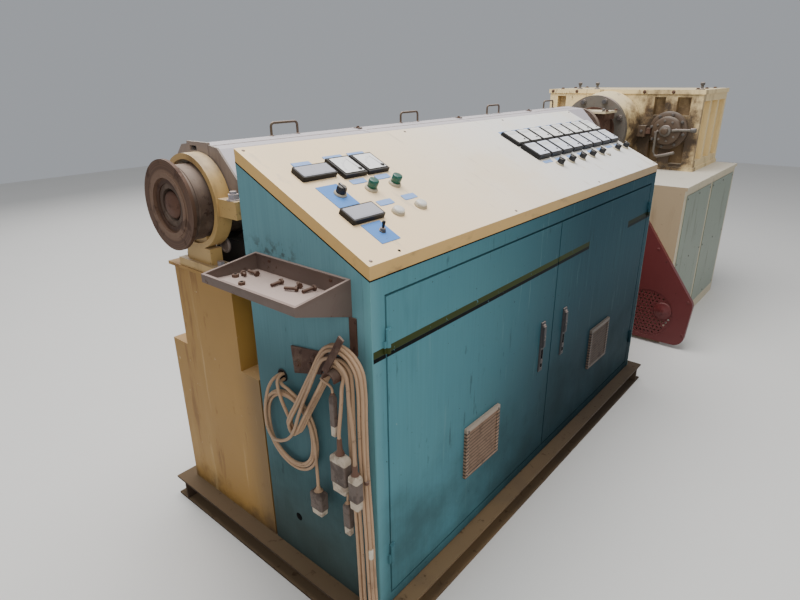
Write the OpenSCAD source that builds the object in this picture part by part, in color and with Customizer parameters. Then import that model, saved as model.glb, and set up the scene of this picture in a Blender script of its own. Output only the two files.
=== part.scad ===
// Plastic extruder: single-screw machine with a long control cabinet in front
// of its barrel. Units are millimetres, +Z is up.
// +X runs along the screw from the outlet flange to the drive end, +Y runs
// from the cabinet's doors to the back. The origin is at floor level in the
// middle of the machine's footprint.
// Inside the modules x = 0 is the cabinet's outlet-end panel, y = 0 its front
// face and z = 0 the floor.

/* [Cabinet] */
// length along the screw
cab_l = 1874; // [1500:1:2300]
// depth, front to back
cab_d = 448; // [430:1:600]
// height of the front edge above the base frame
cab_front_h = 973; // [940:1:1060]
// height of the rear edge above the base frame
cab_rear_h = 1188; // [1100:1:1260]
// sheet thickness of the panels
sheet = 4; // [2:0.5:8]
// depth of the desk lid's lip
lip = 32; // [24:1:45]
// thickness of the desk lid
lid_skin = 5; // [3:0.5:8]

/* [Base frame] */
// height of the base channel
base_h = 80; // [60:1:120]
// how far the base channel stands out past the cabinet
base_out = 52; // [30:1:70]
// width of the channel
base_w = 60; // [50:1:80]
// thickness of the channel's flanges and web
base_t = 7; // [5:0.5:10]

/* [Doors] */
// distance from the cabinet's end to the door
door_side = 52; // [40:1:80]
// height of the door's lower edge above the base frame
door_low = 40; // [20:1:80]
// height of the door's upper edge above the base frame
door_high = 922; // [880:1:932]
// depth of a door's folded edges
door_t = 20; // [12:1:30]
// sheet thickness of a door
door_skin = 3; // [2:0.5:5]
// clear gap around a door
door_gap = 6; // [5:0.5:9]
// width of a louvred grille
vent_w = 190; // [160:1:230]
// height of a louvred grille
vent_h = 180; // [150:1:220]
// height of the grille's middle above the base frame
vent_up = 305; // [260:1:360]
// number of blades in a grille
blades = 12; // [8:1:16]
// how far the grille stands out
vent_t = 10; // [6:1:16]

/* [Machine bed] */
// gap between the cabinet and the bed
bed_gap = 7; // [4:1:30]
// width of the bed
bed_w = 470; // [440:1:520]
// height of the bed
bed_h = 648; // [560:1:700]
// length of the barrel's post at the outlet end
post_l = 300; // [240:1:400]
// width of the barrel's post
post_w = 298; // [260:1:340]
// thickness of the post's top plate
post_t = 10; // [6:1:20]

/* [Barrel] */
// height of the screw's axis above the floor
axis_z = 1137; // [1100:1:1180]
// how far the outlet flange stands out past the cabinet's end
flange_out = 68; // [50:1:110]
// radius of the outlet flange
flange_r = 125; // [115:1:150]
// thickness of the outlet flange
flange_t = 12; // [9:1:24]
// outer radius of the barrel
barrel_r = 106; // [95:1:112]
// radius of the barrel's bore
bore_r = 46; // [40:1:54]
// running clearance between screw and bore
screw_gap = 1.5; // [0.8:0.1:3]

/* [Clamp ring] */
// outer radius of the split clamp ring
clamp_r = 134; // [128:1:156]
// inner radius of the split clamp ring
clamp_in = 118; // [114:1:124]
// length of the clamp ring along the screw
clamp_l = 46; // [36:1:60]
// half the width across the clamp's ears
ear_w = 212; // [195:1:230]

/* [Barrel cover] */
// half the width of the cover, and the radius of its trough
cover_r = 172; // [162:1:176]
// height of the cover's ridge above the screw's axis
cover_up = 156; // [150:1:170]
// half the width between the cover's shoulders
shoulder_w = 88; // [70:1:100]
// height of the cover's shoulders above the screw's axis
shoulder_up = 145; // [138:1:149]
// height of the cover's straight sides above the screw's axis
side_up = 61; // [40:1:80]
// sheet thickness of the cover
cover_t = 3; // [2:0.5:5]
// length from one seam of the cover to the next
cover_pitch = 618; // [560:1:640]
// end of the last cover section
cover_end = 2400; // [2350:1:2410]
// gap between two cover sections
cover_gap = 6; // [3:1:12]
// height of a handle
handle_h = 42; // [34:1:60]
// length of a handle
handle_l = 112; // [90:1:140]
// radius of a handle's rod
handle_r = 4; // [3:0.5:6]

/* [Feed throat] */
// middle of the feed throat
throat_x = 2670; // [2650:1:2680]
// radius of the feed opening
feed_r = 38; // [30:1:42]
// length of the hopper plate along the screw
plate_l = 180; // [170:1:200]
// width of the hopper plate
plate_w = 300; // [280:1:340]
// thickness of the hopper plate
plate_t = 12; // [8:1:20]
// height of the hopper plate's top above the screw's axis
plate_up = 121; // [118:1:135]
// spacing of the hopper bolts along the screw
bolt_x = 150; // [130:1:156]
// spacing of the hopper bolts across the screw
bolt_y = 250; // [220:1:260]
// radius of a hopper bolt's hole
bolt_r = 6.5; // [5:0.5:8]

/* [Drive end] */
// outlet-side face of the round drive flange
drive_x = 2785; // [2775:1:2800]
// radius of the drive flange
drive_r = 204; // [190:1:215]
// thickness of the drive flange
drive_t = 34; // [24:1:44]
// largest radius of the bell behind the drive flange
bell_r = 224; // [218:1:232]
// outlet-side face of the gear housing
housing_x = 3000; // [2960:1:3050]
// far face of the gear housing
housing_end = 3560; // [3400:1:3700]
// distance of the housing's near side behind the cabinet's front face
housing_y = 130; // [110:1:150]
// height of the housing's top above the floor
housing_z = 1370; // [1365:1:1420]
// start of the drive stand
stand_x = 2420; // [2415:1:2440]
// width of the drive stand
stand_w = 1120; // [1080:1:1200]
// clear height between the bell and the top of the drive stand
stand_gap = 13; // [5:1:30]

/* [Belt guard] */
// thickness of the guard along the screw
guard_t = 30; // [20:1:60]
// how far the guard stands out in front of the cabinet
guard_out = 144; // [120:1:160]
// sheet thickness of the guard
guard_skin = 4; // [2:0.5:6]
// radius of the round screen in the guard
screen_r = 146; // [120:1:152]
// distance between two holes of the screen
screen_pitch = 22; // [20:1:36]
// radius of a hole of the screen
screen_hole = 5.5; // [4:0.5:8]

/* [Tool tray] */
// how far the tray stands out from the panel
tray_out = 160; // [130:1:200]
// distance from the cabinet's front face to the tray
tray_y = 58; // [40:1:80]
// length of the tray
tray_l = 344; // [300:1:360]
// height of the tray's rear rim above the floor
tray_z = 1045; // [1035:1:1050]

/* [Hidden] */
desk_rise = cab_rear_h - cab_front_h;
desk_a = atan2(desk_rise, cab_d);
// top of the drive stand
stand_h = axis_z - bell_r - stand_gap;
front_z = base_h + cab_front_h;
rear_z = base_h + cab_rear_h;
door_mid = cab_l / 2;
door_z0 = base_h + door_low;
door_z1 = base_h + door_high;
vent_z = base_h + vent_up;
vent_side = 432;
vent_hole_w = vent_w - 30;
vent_hole_h = vent_h - 30;
cut_gap = 2;
bed_y0 = cab_d + bed_gap;
bed_y1 = bed_y0 + bed_w;
axis_y = bed_y0 + bed_w / 2;
post_y0 = axis_y - 150;
post_y1 = post_y0 + post_w;
// the clamp's foot stands on the post
post_z = axis_z - 201;
flange_x = -flange_out;
screw_r = bore_r - screw_gap;
seam = [for (i = [0 : 3]) clamp_l + i * cover_pitch];
section_end = concat([for (i = [1 : 3]) seam[i]], [cover_end + cover_gap / 2]);
housing_y1 = stand_w;
x_min = -tray_out;
x_max = housing_end;
y_min = -guard_out;
y_max = stand_w + 10;
mid_x = (x_min + x_max) / 2;
mid_y = (y_min + y_max) / 2;
eps = 1;

// hinge pins: distance in from the cabinet's end, and forward of its face
hinge_x = door_side - door_gap / 2;
hinge_y = -6;
hinge_z = [230, 865];
knuckle_r = 6;
knuckle_h = 30;
pin_r = 3;
pin_gap = 0.05;
knuckle_gap = 0.2;

// latches
latch_w = 26;
latch_h = 190;
latch_z = 475;
latch_left = door_mid - 78;
latch_right = door_mid + 92;

// desk: meters, plates, buttons and controllers, as x and distance up the slope
meter_size = [82, 84];
meter_at = [[202, 300], [290, 300]];
grey_at = [[76, 317, 114, 51], [73, 130, 109, 54]];
plate_at = [[90, 198, 70, 90], [92, 50, 64, 74]];
label_at = [[101, 374, 45, 26], [217, 390, 55, 19], [306, 390, 56, 19], [214, 272, 38, 20],
  [308, 272, 36, 20], [218, 170, 36, 22], [310, 170, 32, 22]];
label_t = 1;
plate_skin = 1.5;
green_at = [[244, 242], [337, 242]];
white_at = [[237, 135], [330, 137]];
knob_at = [136, 246];
toggle_at = [130, 88];
ctrl_n = 8;
ctrl_pitch = 96;
ctrl_w = 86;
ctrl_x = cab_l - 780;
ctrl_s = [300, 204];
knob_row = [for (i = [0 : 7]) if (i != 5) [ctrl_x + ctrl_w + i * ctrl_pitch - (i > 5 ? 20 : 0), 157]];
lamp_at = [ctrl_x + 513, 140];

// tray
tray_skin = 3;
tray_rim = 7;
tray_front_z = tray_z - 18;
// lower edge of the side walls, at the panel and at the front
tray_under = [tray_z - 91, tray_front_z - 21];
// top of the floor, at the panel and at the front
tray_floor = [tray_z - 45, tray_front_z - 18];

// cables: radius, and the hole they leave the panel by, as y and z
cable_r = 4.5;
thin_r = 3;
cable_hole = [337, 708];
cable_hole_r = 16;
// the hank hangs over a bent bar: middle of its bend as y and z
saddle = [66, 820];
saddle_r = 21.7;
saddle_l = 79;
saddle_t = 4;
soft_gap = 0.3;
hank_half = 22.5;
hank_side = hank_half + cable_r + 0.5;
hank_bend = saddle_r + soft_gap + hank_side;
hank_x = [-59, -28];
leg_a = 31;
leg_l = 280;
leg_right = [[saddle[0] - hank_bend, 600], [8, 380], [4, 150]];
// the loose coil by the hole: middle, outer width and height, ring width
coil_at = [308, 553];
coil_w = 230;
coil_h = 262;
coil_ring = 32;
coil_x = [-26, -9];
lead_1_in = [[2, 330, 699], [-8, 330, 699], [-18, 326, 698], [-22, 315, 694], [-18, 296, 688]];
lead_1_out = [[-24, 194.6, 500], [-30, 187, 478], [-35, 181, 456], [-36, 180, 440.2]];
lead_2_in = [[2, 331, 715], [-10, 331, 715], [-24, 329, 708], [-33, 320, 690], [-34, 310, 662],
  [-33.5, 303, 645], [-33.5, 293, 628.5], [-33.5, 282.6, 611.2]];
lead_2_out = [[-63.7, 39, 800], [-64, 40, 775], [-66, 43, 740], [-70, 45, 705], [-72.5, 45.5, 684],
  [-72.6, 45.5, 672.2]];
lead_3 = [[2, 343, 711], [-10, 343, 711], [-24, 345, 706], [-36, 352, 688], [-42, 362, 655],
  [-44, 371, 615], [-44, 374, 575], [-46, 364, 544], [-51, 340, 532], [-57, 312, 540],
  [-63, 280, 556], [-64, 248, 580], [-64, 226, 612], [-64, 205, 660], [-64, 178, 716],
  [-64, 150, 768], [-64, 124, 818], [-64, 108, 845], [-64, 92, 862], [-64, 66, 869.5],
  [-64, 41, 862], [-64, 23, 845], [-64, 17, 820], [-64, 16, 780], [-65, 10, 740],
  [-67, 4, 700], [-70, 0, 660], [-73.6, -4, 632], [-74, -4, 620.2]];
lead_4 = [[-62.2, 108, 806], [-65, 98, 806], [-66.6, 84, 804], [-66.6, 72, 800], [-66.6, 66.5, 792], [-66.6, 66, 784.2]];
lead_5 = [[-42, 45.4, 545], [-42, 50, 520], [-42, 57, 490], [-42, 60.8, 470], [-42, 61, 460.2]];
// plugs: point where the cable enters, then width, depth, neck and body lengths
plugs = [[[-36, 180, 440], 46, 28, 14, 74], [[-72.6, 45.5, 672], 52, 26, 44, 108],
  [[-74, -4, 620], 30, 24, 26, 98], [[-66.6, 66, 784], 16, 14, 4, 112], [[-42, 61, 460], 24, 18, 6, 98]];

turquoise = [0.29, 0.50, 0.54];
cream = [0.86, 0.82, 0.76];
ochre = [0.64, 0.50, 0.26];
rust = [0.34, 0.25, 0.22];
steel = [0.52, 0.50, 0.49];
dark_steel = [0.32, 0.31, 0.30];
lilac = [0.66, 0.64, 0.65];
black = [0.07, 0.07, 0.08];
grey = [0.36, 0.36, 0.40];
white = [0.86, 0.86, 0.84];
blue = [0.30, 0.45, 0.68];
green = [0.10, 0.38, 0.30];
beige = [0.70, 0.63, 0.52];
cord_beige = [0.76, 0.64, 0.54];
dark_red = [0.36, 0.14, 0.15];

// machine coordinates to the part's own frame
module place() translate([-mid_x, -mid_y, 0]) children();
// things on the desk: x along the machine, y up the slope from the front lip
module on_desk() place() translate([0, 0, front_z + lip]) rotate([desk_a, 0, 0]) children();
// a block from its lowest to its highest corner
module box(a, b) translate(a) cube(b - a);
// a cylinder about a line along x
module xcyl(x0, x1, r, y = axis_y, z = axis_z, n = 64)
  translate([x0, y, z]) rotate([0, 90, 0]) cylinder(r = r, h = x1 - x0, $fn = n);
// an outline in y and z, drawn out along x
module along_x(x, l) translate([x, 0, 0]) rotate([90, 0, 90]) linear_extrude(l) children();
// a flat block on the desk, with corners of radius r
module slab(at, size, t, r = 0)
  if (r == 0) translate([at[0], at[1], 0]) cube([size[0], size[1], t]);
  else translate([at[0] + r, at[1] + r, 0]) linear_extrude(t)
    offset(r = r, $fn = 12) square(size - [2 * r, 2 * r]);

// Base and bed
// a channel along x whose open side faces the front (side -1) or the back (side 1)
module channel_x(x0, x1, y0, side) {
  web = side < 0 ? y0 + base_w - base_t : y0;
  union() {
    box([x0, web, 0], [x1, web + base_t, base_h]);
    box([x0, y0, 0], [x1, y0 + base_w, base_t]);
    box([x0, y0, base_h - base_t], [x1, y0 + base_w, base_h]);
  }
}
base_y0 = -base_out;
base_y1 = bed_y1 + base_out;
base_x1 = cab_l + base_out;
cross_y0 = base_y0 + base_w - base_t;
cross_y1 = base_y1 - base_w + base_t;
module base_end(x0, side) {
  hollow = side < 0 ? x0 - eps : x0 + base_t;
  difference() {
    box([x0, base_y0, 0], [x0 + base_w, base_y1, base_h]);
    box([hollow, base_y0 - eps, base_t], [hollow + base_w - base_t + eps, base_y1 + eps, base_h - base_t]);
  }
}
module base_frame() color(ochre) place() union() {
  channel_x(-base_out, base_x1, base_y0, -1);
  channel_x(-base_out, stand_x, base_y1 - base_w, 1);
  base_end(-base_out, -1);
  base_end(base_x1 - base_w, 1);
  for (x = [cab_l / 3, 2 * cab_l / 3]) {
    box([x - base_w / 2, cross_y0, 0], [x + base_w / 2, cross_y1, base_h]);
  }
  box([stand_x - base_w, bed_y0, 0], [stand_x, cross_y1, base_h]);
  box([base_x1 - base_t, bed_y0, 0], [stand_x, bed_y0 + base_w, base_h]);
}
module machine_bed() color(ochre) place() box([0, bed_y0, base_h], [stand_x, bed_y1, bed_h]);

// Cabinet
module end_outline() polygon([[0, base_h], [cab_d, base_h], [cab_d, rear_z], [0, front_z]]);
module end_panel_left() color(turquoise) place() difference() {
  along_x(0, sheet) end_outline();
  xcyl(-eps, sheet + eps, cable_hole_r, cable_hole[0], cable_hole[1], 32);
}
module end_panel_right() color(turquoise) place() along_x(cab_l - sheet, sheet) end_outline();
module rear_panel() color(turquoise) place()
  box([sheet, cab_d - sheet, base_h], [cab_l - sheet, cab_d, rear_z - cut_gap]);
module cabinet_floor() color(turquoise) place()
  box([sheet, sheet, base_h], [cab_l - sheet, cab_d - sheet, base_h + sheet]);
module front_surround() color(turquoise) place() difference() {
  box([sheet, 0, base_h + sheet], [cab_l - sheet, door_t + sheet, front_z]);
  box([door_side - door_gap, -eps, door_z0 - door_gap],
    [cab_l - door_side + door_gap, door_t + sheet + eps, door_z1 + door_gap]);
}

// Doors: a sheet pan with folded edges and a cut-out for the grille
module door_pan(x0, x1, vent_x) {
  hole = [vent_hole_w / 2 + cut_gap, 0, vent_hole_h / 2 + cut_gap];
  rim = hole + [door_skin, 0, door_skin];
  middle = [vent_x, 0, vent_z];
  difference() {
    box([x0, 0, door_z0], [x1, door_t, door_z1]);
    difference() {
      box([x0 + door_skin, door_skin, door_z0 + door_skin],
        [x1 - door_skin, door_t + eps, door_z1 - door_skin]);
      box(middle - rim, middle + rim + [0, door_t, 0]);
    }
    box(middle - hole - [0, eps, 0], middle + hole + [0, door_t + eps, 0]);
  }
}
// the upper half of each hinge turns with the door, round the lower half's pin
module hinge_upper(x, side) for (z = hinge_z) difference() {
  z0 = z + knuckle_h + knuckle_gap;
  union() {
    translate([x, hinge_y, z0]) cylinder(r = knuckle_r, h = knuckle_h, $fn = 32);
    box([min(x, x + side * 2 * knuckle_r), hinge_y, z0],
      [max(x, x + side * 2 * knuckle_r), 1, z0 + knuckle_h]);
  }
  translate([x, hinge_y, z0 - eps]) cylinder(r = pin_r + pin_gap, h = knuckle_h + 2 * eps, $fn = 32);
}
module hinge_lower(x, side) for (z = hinge_z) union() {
  translate([x, hinge_y, z]) cylinder(r = knuckle_r, h = knuckle_h, $fn = 32);
  translate([x, hinge_y, z + knuckle_h - eps]) cylinder(r = pin_r, h = knuckle_h + eps, $fn = 32);
  box([min(x, x - side * 2 * knuckle_r), hinge_y, z], [max(x, x - side * 2 * knuckle_r), 0, z + knuckle_h]);
}
module door_left() color(turquoise) place() union() {
  door_pan(door_side, door_mid - door_gap / 2, door_side + vent_side);
  hinge_upper(hinge_x, 1);
}
module door_right() color(turquoise) place() union() {
  door_pan(door_mid + door_gap / 2, cab_l - door_side, cab_l - door_side - vent_side + 10);
  hinge_upper(cab_l - hinge_x, -1);
}
module door_hinges() color(grey) place() {
  hinge_lower(hinge_x, 1);
  hinge_lower(cab_l - hinge_x, -1);
}

// Louvred grille: a frame with sloping blades that closes the door's cut-out
blade_pitch = vent_hole_h / blades;
module blade() polygon([[-vent_t + 1, 0], [-vent_t + 3, 0], [3, blade_pitch - 2],
  [3, blade_pitch + 2], [1, blade_pitch + 2], [1, blade_pitch - 1], [-vent_t + 1, 1.5]]);
module vent(x) {
  half = [vent_w / 2, 0, vent_h / 2];
  hole = [vent_hole_w / 2, 0, vent_hole_h / 2];
  middle = [x, 0, vent_z];
  union() {
    difference() {
      box(middle - half - [0, vent_t, 0], middle + half);
      box(middle - hole - [0, vent_t + eps, 0], middle + hole + [0, eps, 0]);
    }
    for (i = [0 : blades - 1]) {
      translate([x - vent_hole_w / 2 - eps, 0, vent_z - vent_hole_h / 2 + i * blade_pitch - 2])
        along_x(0, vent_hole_w + 2 * eps) blade();
    }
  }
}
module door_left_vent() color(cream) place() vent(door_side + vent_side);
module door_right_vent() color(cream) place() vent(cab_l - door_side - vent_side + 10);

// Latch: a long plate with a pull and a lock
module latch(x) union() {
  box([x - latch_w / 2, -4, latch_z], [x + latch_w / 2, 0, latch_z + latch_h]);
  box([x - 8, -12, latch_z + latch_h / 2], [x + 8, -3, latch_z + latch_h - 15]);
  translate([x, -3, latch_z + 40]) rotate([90, 0, 0]) cylinder(r = 9, h = 4, $fn = 32);
}
module door_left_latch() color(grey) place() latch(latch_left);
module door_right_latch() color(grey) place() latch(latch_right);

// Desk
module desk_section(inset) polygon([
  [inset, inset == 0 ? 0 : -eps], [cab_d - inset, desk_rise - (inset == 0 ? 0 : eps)],
  [cab_d - inset, desk_rise + lip - (inset == 0 ? 0 : lid_skin)],
  [inset, lip - (inset == 0 ? 0 : lid_skin)]]);
module desk_lid() color(cream) place() translate([0, 0, front_z]) difference() {
  along_x(0, cab_l) desk_section(0);
  along_x(sheet, cab_l - 2 * sheet) desk_section(sheet);
}
module meter(at) union() {
  slab(at, meter_size, 12);
  slab(at + [7, 7], meter_size - [14, 14], 13.5);
}
module pointer_meters() color(black) on_desk() for (at = meter_at) meter(at);
module grey_instruments() color(grey) on_desk()
  for (g = grey_at) slab([g[0], g[1]], [g[2], g[3]], 13, 4);
module blue_plates() color(blue) on_desk() {
  for (p = plate_at) slab([p[0], p[1]], [p[2], p[3]], plate_skin);
  for (p = label_at) slab([p[0], p[1]], [p[2], p[3]], label_t);
  for (i = [0 : ctrl_n - 1]) slab([ctrl_x + 10 + i * ctrl_pitch, 392], [60, 12], label_t);
  for (i = [0 : ctrl_n - 1]) slab([ctrl_x + 10 + i * ctrl_pitch, 178], [60, 14], label_t);
}
module desk_knob(at, z = 0) translate([at[0], at[1], z]) union() {
  cylinder(r = 16, h = 6, $fn = 32);
  cylinder(r = 12, h = 22, $fn = 32);
  translate([-3.5, -14, 18]) cube([7, 28, 8]);
}
module desk_knobs() color(black) on_desk() {
  desk_knob(knob_at, plate_skin);
  translate([toggle_at[0], toggle_at[1], plate_skin]) union() {
    cylinder(r = 9, h = 5, $fn = 32);
    translate([0, 0, 2]) rotate([-14, 0, 0]) cylinder(r1 = 3, r2 = 4.5, h = 24, $fn = 24);
  }
  for (at = knob_row) desk_knob(at);
}
module button(at, r, h) translate([at[0], at[1], 0]) union() {
  cylinder(r = 18, h = 7, $fn = 32);
  cylinder(r = r, h = h, $fn = 32);
}
module green_buttons() color(green) on_desk() for (at = green_at) button(at, 13, 29);
module white_buttons() color(white) on_desk() {
  for (at = white_at) button(at, 15, 14);
  translate([lamp_at[0], lamp_at[1], 0]) cylinder(r = 11, h = 10, $fn = 32);
}
module controller_row(s, t) for (i = [0 : ctrl_n - 1]) union() {
  slab([ctrl_x + i * ctrl_pitch, s], [ctrl_w, ctrl_w], t);
  slab([ctrl_x + i * ctrl_pitch + 6, s + 6], [ctrl_w - 12, ctrl_w - 12], t + 2);
}
module controller_row_upper() color(white) on_desk() controller_row(ctrl_s[0], 12);
module controller_row_lower() color(white) on_desk() controller_row(ctrl_s[1], 16);

// Tool tray: a folded sheet box with a turned rim, deeper at the panel
// outline between the rim and a lower line, from x to x along the panel's normal
module tray_profile(inset, top, low) polygon([[-inset, low[0]], [-inset, tray_z + top],
  [inset - tray_out, tray_front_z + top], [inset - tray_out, low[1]]]);
module tray_slice(inset) translate([0, tray_y + tray_l - inset, 0]) rotate([90, 0, 0])
  linear_extrude(tray_l - 2 * inset) children();
module tool_tray() color(steel) place() difference() {
  tray_slice(0) tray_profile(0, 0, tray_under);
  // room above the floor, narrower at the turned rim
  tray_slice(tray_rim) tray_profile(tray_rim, eps, tray_floor);
  tray_slice(tray_skin) tray_profile(tray_skin, -tray_skin, tray_floor);
  // the side walls reach down past the floor
  tray_slice(tray_skin) polygon([[eps, tray_under[0] - eps], [eps, tray_floor[0] - tray_skin],
    [tray_skin - tray_out, tray_floor[1] - tray_skin], [tray_skin - tray_out, tray_under[1] - eps]]);
}
module tray_strap() color(rust) place() box([-4, 44, tray_under[0] - 95], [0, 66, tray_under[0]]);

// Hook for the cables: a plate on the panel, a bent bar and an upright tip
module ring_half(r_out, r_in) difference() {
  circle(r_out, $fn = 64);
  circle(r_in, $fn = 64);
  translate([-r_out - 1, -2 * r_out]) square([2 * r_out + 2, 2 * r_out]);
}
module cable_bracket() color(rust) place() union() {
  along_x(-5, 5) polygon([[279, 737], [286, 814], [159, 834], [100, 838], [74, 846], [60, 836],
    [84, 806], [168, 786], [174, 768]]);
  along_x(-saddle_l, saddle_l) translate(saddle) ring_half(saddle_r, saddle_r - saddle_t);
  translate([-saddle_l, 70, 836]) rotate([leg_a, 0, 0]) cube([5, 16, 118]);
}

// Cables
function arc(c, r, a0, a1, n) =
  [for (i = [0 : n]) c + r * [cos(a0 + (a1 - a0) * i / n), sin(a0 + (a1 - a0) * i / n)]];
function unit(v) = v / norm(v);
leg_n = [cos(leg_a), sin(leg_a)];
leg_d = [-sin(leg_a), cos(leg_a)];
hank_path = concat([saddle + hank_bend * leg_n - leg_l * leg_d], arc(saddle, hank_bend, leg_a, 180, 10),
  leg_right);
function along(p, i) = unit(p[min(i + 1, len(p) - 1)] - p[max(i - 1, 0)]);
function side_of(t) = [t[1], -t[0]];
function round_end(c, n, t, w) = [for (k = [1 : 7]) c + w * (cos(22.5 * k) * n + sin(22.5 * k) * t)];
// outline with round ends, w to each side of a path
function band(p, w) = let (m = len(p) - 1) concat(
  [for (i = [0 : m]) p[i] + w * side_of(along(p, i))],
  round_end(p[m], side_of(along(p, m)), along(p, m), w),
  [for (i = [m : -1 : 0]) p[i] - w * side_of(along(p, i))],
  round_end(p[0], -side_of(along(p, 0)), -along(p, 0), w));
module cable_hank() color(cord_beige) place()
  along_x(hank_x[0], hank_x[1] - hank_x[0]) polygon(band(hank_path, hank_side));
module oval(w, h) union() {
  for (s = [-1, 1]) translate([0, s * (h - w) / 2]) circle(w / 2, $fn = 48);
  square([w, h - w], center = true);
}
module cable_coil() color(cord_beige) place()
  along_x(coil_x[0], coil_x[1] - coil_x[0]) translate(coil_at) difference() {
    oval(coil_w, coil_h);
    oval(coil_w - 2 * coil_ring, coil_h - 2 * coil_ring);
  }

// a point between b and c on a smooth curve through a, b, c and d
function between(a, b, c, d, t) = 0.5 * (2 * b + (c - a) * t + (2 * a - 5 * b + 4 * c - d) * t * t
  + (3 * b - a - 3 * c + d) * t * t * t);
function smooth(p, k) = let (m = len(p) - 1) concat([for (i = [0 : m - 1]) for (j = [0 : k - 1])
  between(p[max(i - 1, 0)], p[i], p[i + 1], p[min(i + 2, m)], j / k)], [p[m]]);
// a tube of radius r swept along a path, with n sides and k rings to a step
module tube(path, r, k = 1, n = 8, ref = [0, 0, 1]) {
  q = smooth(path, k);
  m = len(q);
  pts = [for (i = [0 : m - 1]) let (t = along(q, i), u = unit(cross(t, ref)), w = cross(t, u))
    for (j = [0 : n - 1]) q[i] + r * (cos(360 * j / n) * u + sin(360 * j / n) * w)];
  faces = concat([[for (j = [0 : n - 1]) n - 1 - j]],
    [for (i = [0 : m - 2]) for (j = [0 : n - 1])
      [i * n + j, i * n + (j + 1) % n, (i + 1) * n + (j + 1) % n, (i + 1) * n + j]],
    [[for (j = [0 : n - 1]) (m - 1) * n + j]]);
  polyhedron(pts, faces);
}
module cable_lead_1() color(cord_beige) place() {
  tube(lead_1_in, cable_r);
  tube(lead_1_out, cable_r, 1, 8, [0, 1, 0]);
}
module cable_lead_2() color(cord_beige) place() {
  tube(lead_2_in, cable_r, 1, 8, [0.3, 1, 0]);
  tube(lead_2_out, cable_r, 1, 8, [0, 1, 0]);
}
module cable_lead_3() color(cord_beige) place() tube(lead_3, cable_r, 1, 8, [0.5, 0, 0.1]);
module cable_lead_4() color(cord_beige) place() tube(lead_4, thin_r, 1, 8, [1, 0, 0]);
module cable_lead_5() color(cord_beige) place() tube(lead_5, thin_r, 1, 8, [1, 0, 0]);

// Plug: a tapered neck, a block and a narrower mating end
module plug(p) {
  at = p[0];
  w = p[1];
  d = p[2];
  neck = p[3];
  body = p[4];
  union() {
    translate(at - [0, 0, neck + eps]) cylinder(r1 = d / 2, r2 = cable_r + 1, h = neck + eps, $fn = 24);
    translate(at - [d / 2, w / 2, neck + body * 0.74]) cube([d, w, body * 0.74]);
    translate(at - [d / 2 - 2, w / 2 - 3, neck + body]) cube([d - 4, w - 6, body * 0.26 + eps]);
  }
}
module cable_plugs() color(grey) place() for (p = plugs) plug(p);

// Outlet end of the barrel
module barrel_stand() color(ochre) place() union() {
  box([0, post_y0, bed_h], [post_l, post_y1, post_z - post_t]);
  box([-12, post_y0 - 12, post_z - post_t], [post_l + 12, post_y1 + 12, post_z]);
}
throat_x0 = throat_x - 70;
barrel_end_r = 140;
module barrel() color(rust) place() difference() {
  union() {
    xcyl(flange_x + flange_t, throat_x0, barrel_r);
    xcyl(throat_x0 - 64, throat_x0 - 30, barrel_end_r);
  }
  xcyl(flange_x, throat_x0 + eps, bore_r);
}
module barrel_flange() color(rust) place() difference() {
  union() {
    xcyl(flange_x + 2, flange_x + flange_t, flange_r);
    xcyl(flange_x, flange_x + 3, 90);
  }
  xcyl(flange_x - eps, flange_x + 8, 76);
  xcyl(flange_x - eps, flange_x + flange_t + eps, 60);
}
// the screw ends in a blunt tip at the outlet
tip = 24;
module screw() color(steel) place() union() {
  xcyl(flange_x + 12 + tip, drive_x - 30, screw_r);
  translate([flange_x + 20, axis_y, axis_z]) rotate([0, 90, 0])
    cylinder(r1 = screw_r * 0.85, r2 = screw_r, h = tip - 8 + eps, $fn = 64);
  translate([flange_x + 12, axis_y, axis_z]) rotate([0, 90, 0])
    cylinder(r1 = screw_r * 0.5, r2 = screw_r * 0.85, h = 8 + eps, $fn = 64);
}
clamp_y = [6, clamp_l - 6];
ear_t = 24;
foot_w = 96;
pad = [50, 124, 84];
module clamp_half(up) difference() {
  union() {
    xcyl(0, clamp_l, clamp_r);
    box([clamp_y[0], axis_y - ear_w, axis_z - ear_t], [clamp_y[1], axis_y + ear_w, axis_z + ear_t]);
    if (!up) {
      box([clamp_y[0] - 2, axis_y - 62, post_z + 20], [clamp_y[1] + 2, axis_y + 62, axis_z - 130]);
      box([-8, axis_y - foot_w, post_z], [clamp_l + 8, axis_y + foot_w, post_z + ear_t]);
    }
  }
  difference() {
    xcyl(-eps, clamp_l + eps, clamp_in);
    if (!up) {
      box([clamp_y[0], axis_y - pad[0], axis_z - pad[1]], [clamp_y[1], axis_y + pad[0], axis_z - pad[2]]);
    }
  }
  xcyl(-eps, clamp_l + eps, barrel_r);
  if (up) box([-20, axis_y - 300, axis_z - 300], [clamp_l + 20, axis_y + 300, axis_z + 0.1]);
  else box([-20, axis_y - 300, axis_z - 0.1], [clamp_l + 20, axis_y + 300, axis_z + 300]);
}
module clamp_cap() color(cream) place() clamp_half(true);
module clamp_base() color(cream) place() clamp_half(false);
module clamp_bolts() color(rust) place() for (s = [-1, 1]) {
  translate([clamp_l / 2, axis_y + s * (ear_w - 30), axis_z + ear_t]) union() {
    cylinder(r = 19, h = 3, $fn = 32);
    cylinder(r = 15, h = 16, $fn = 6);
    cylinder(r = 9, h = 23, $fn = 24);
  }
  translate([clamp_l / 2, axis_y + s * (foot_w - 16), post_z + ear_t]) cylinder(r = 11, h = 12, $fn = 6);
}
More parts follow.
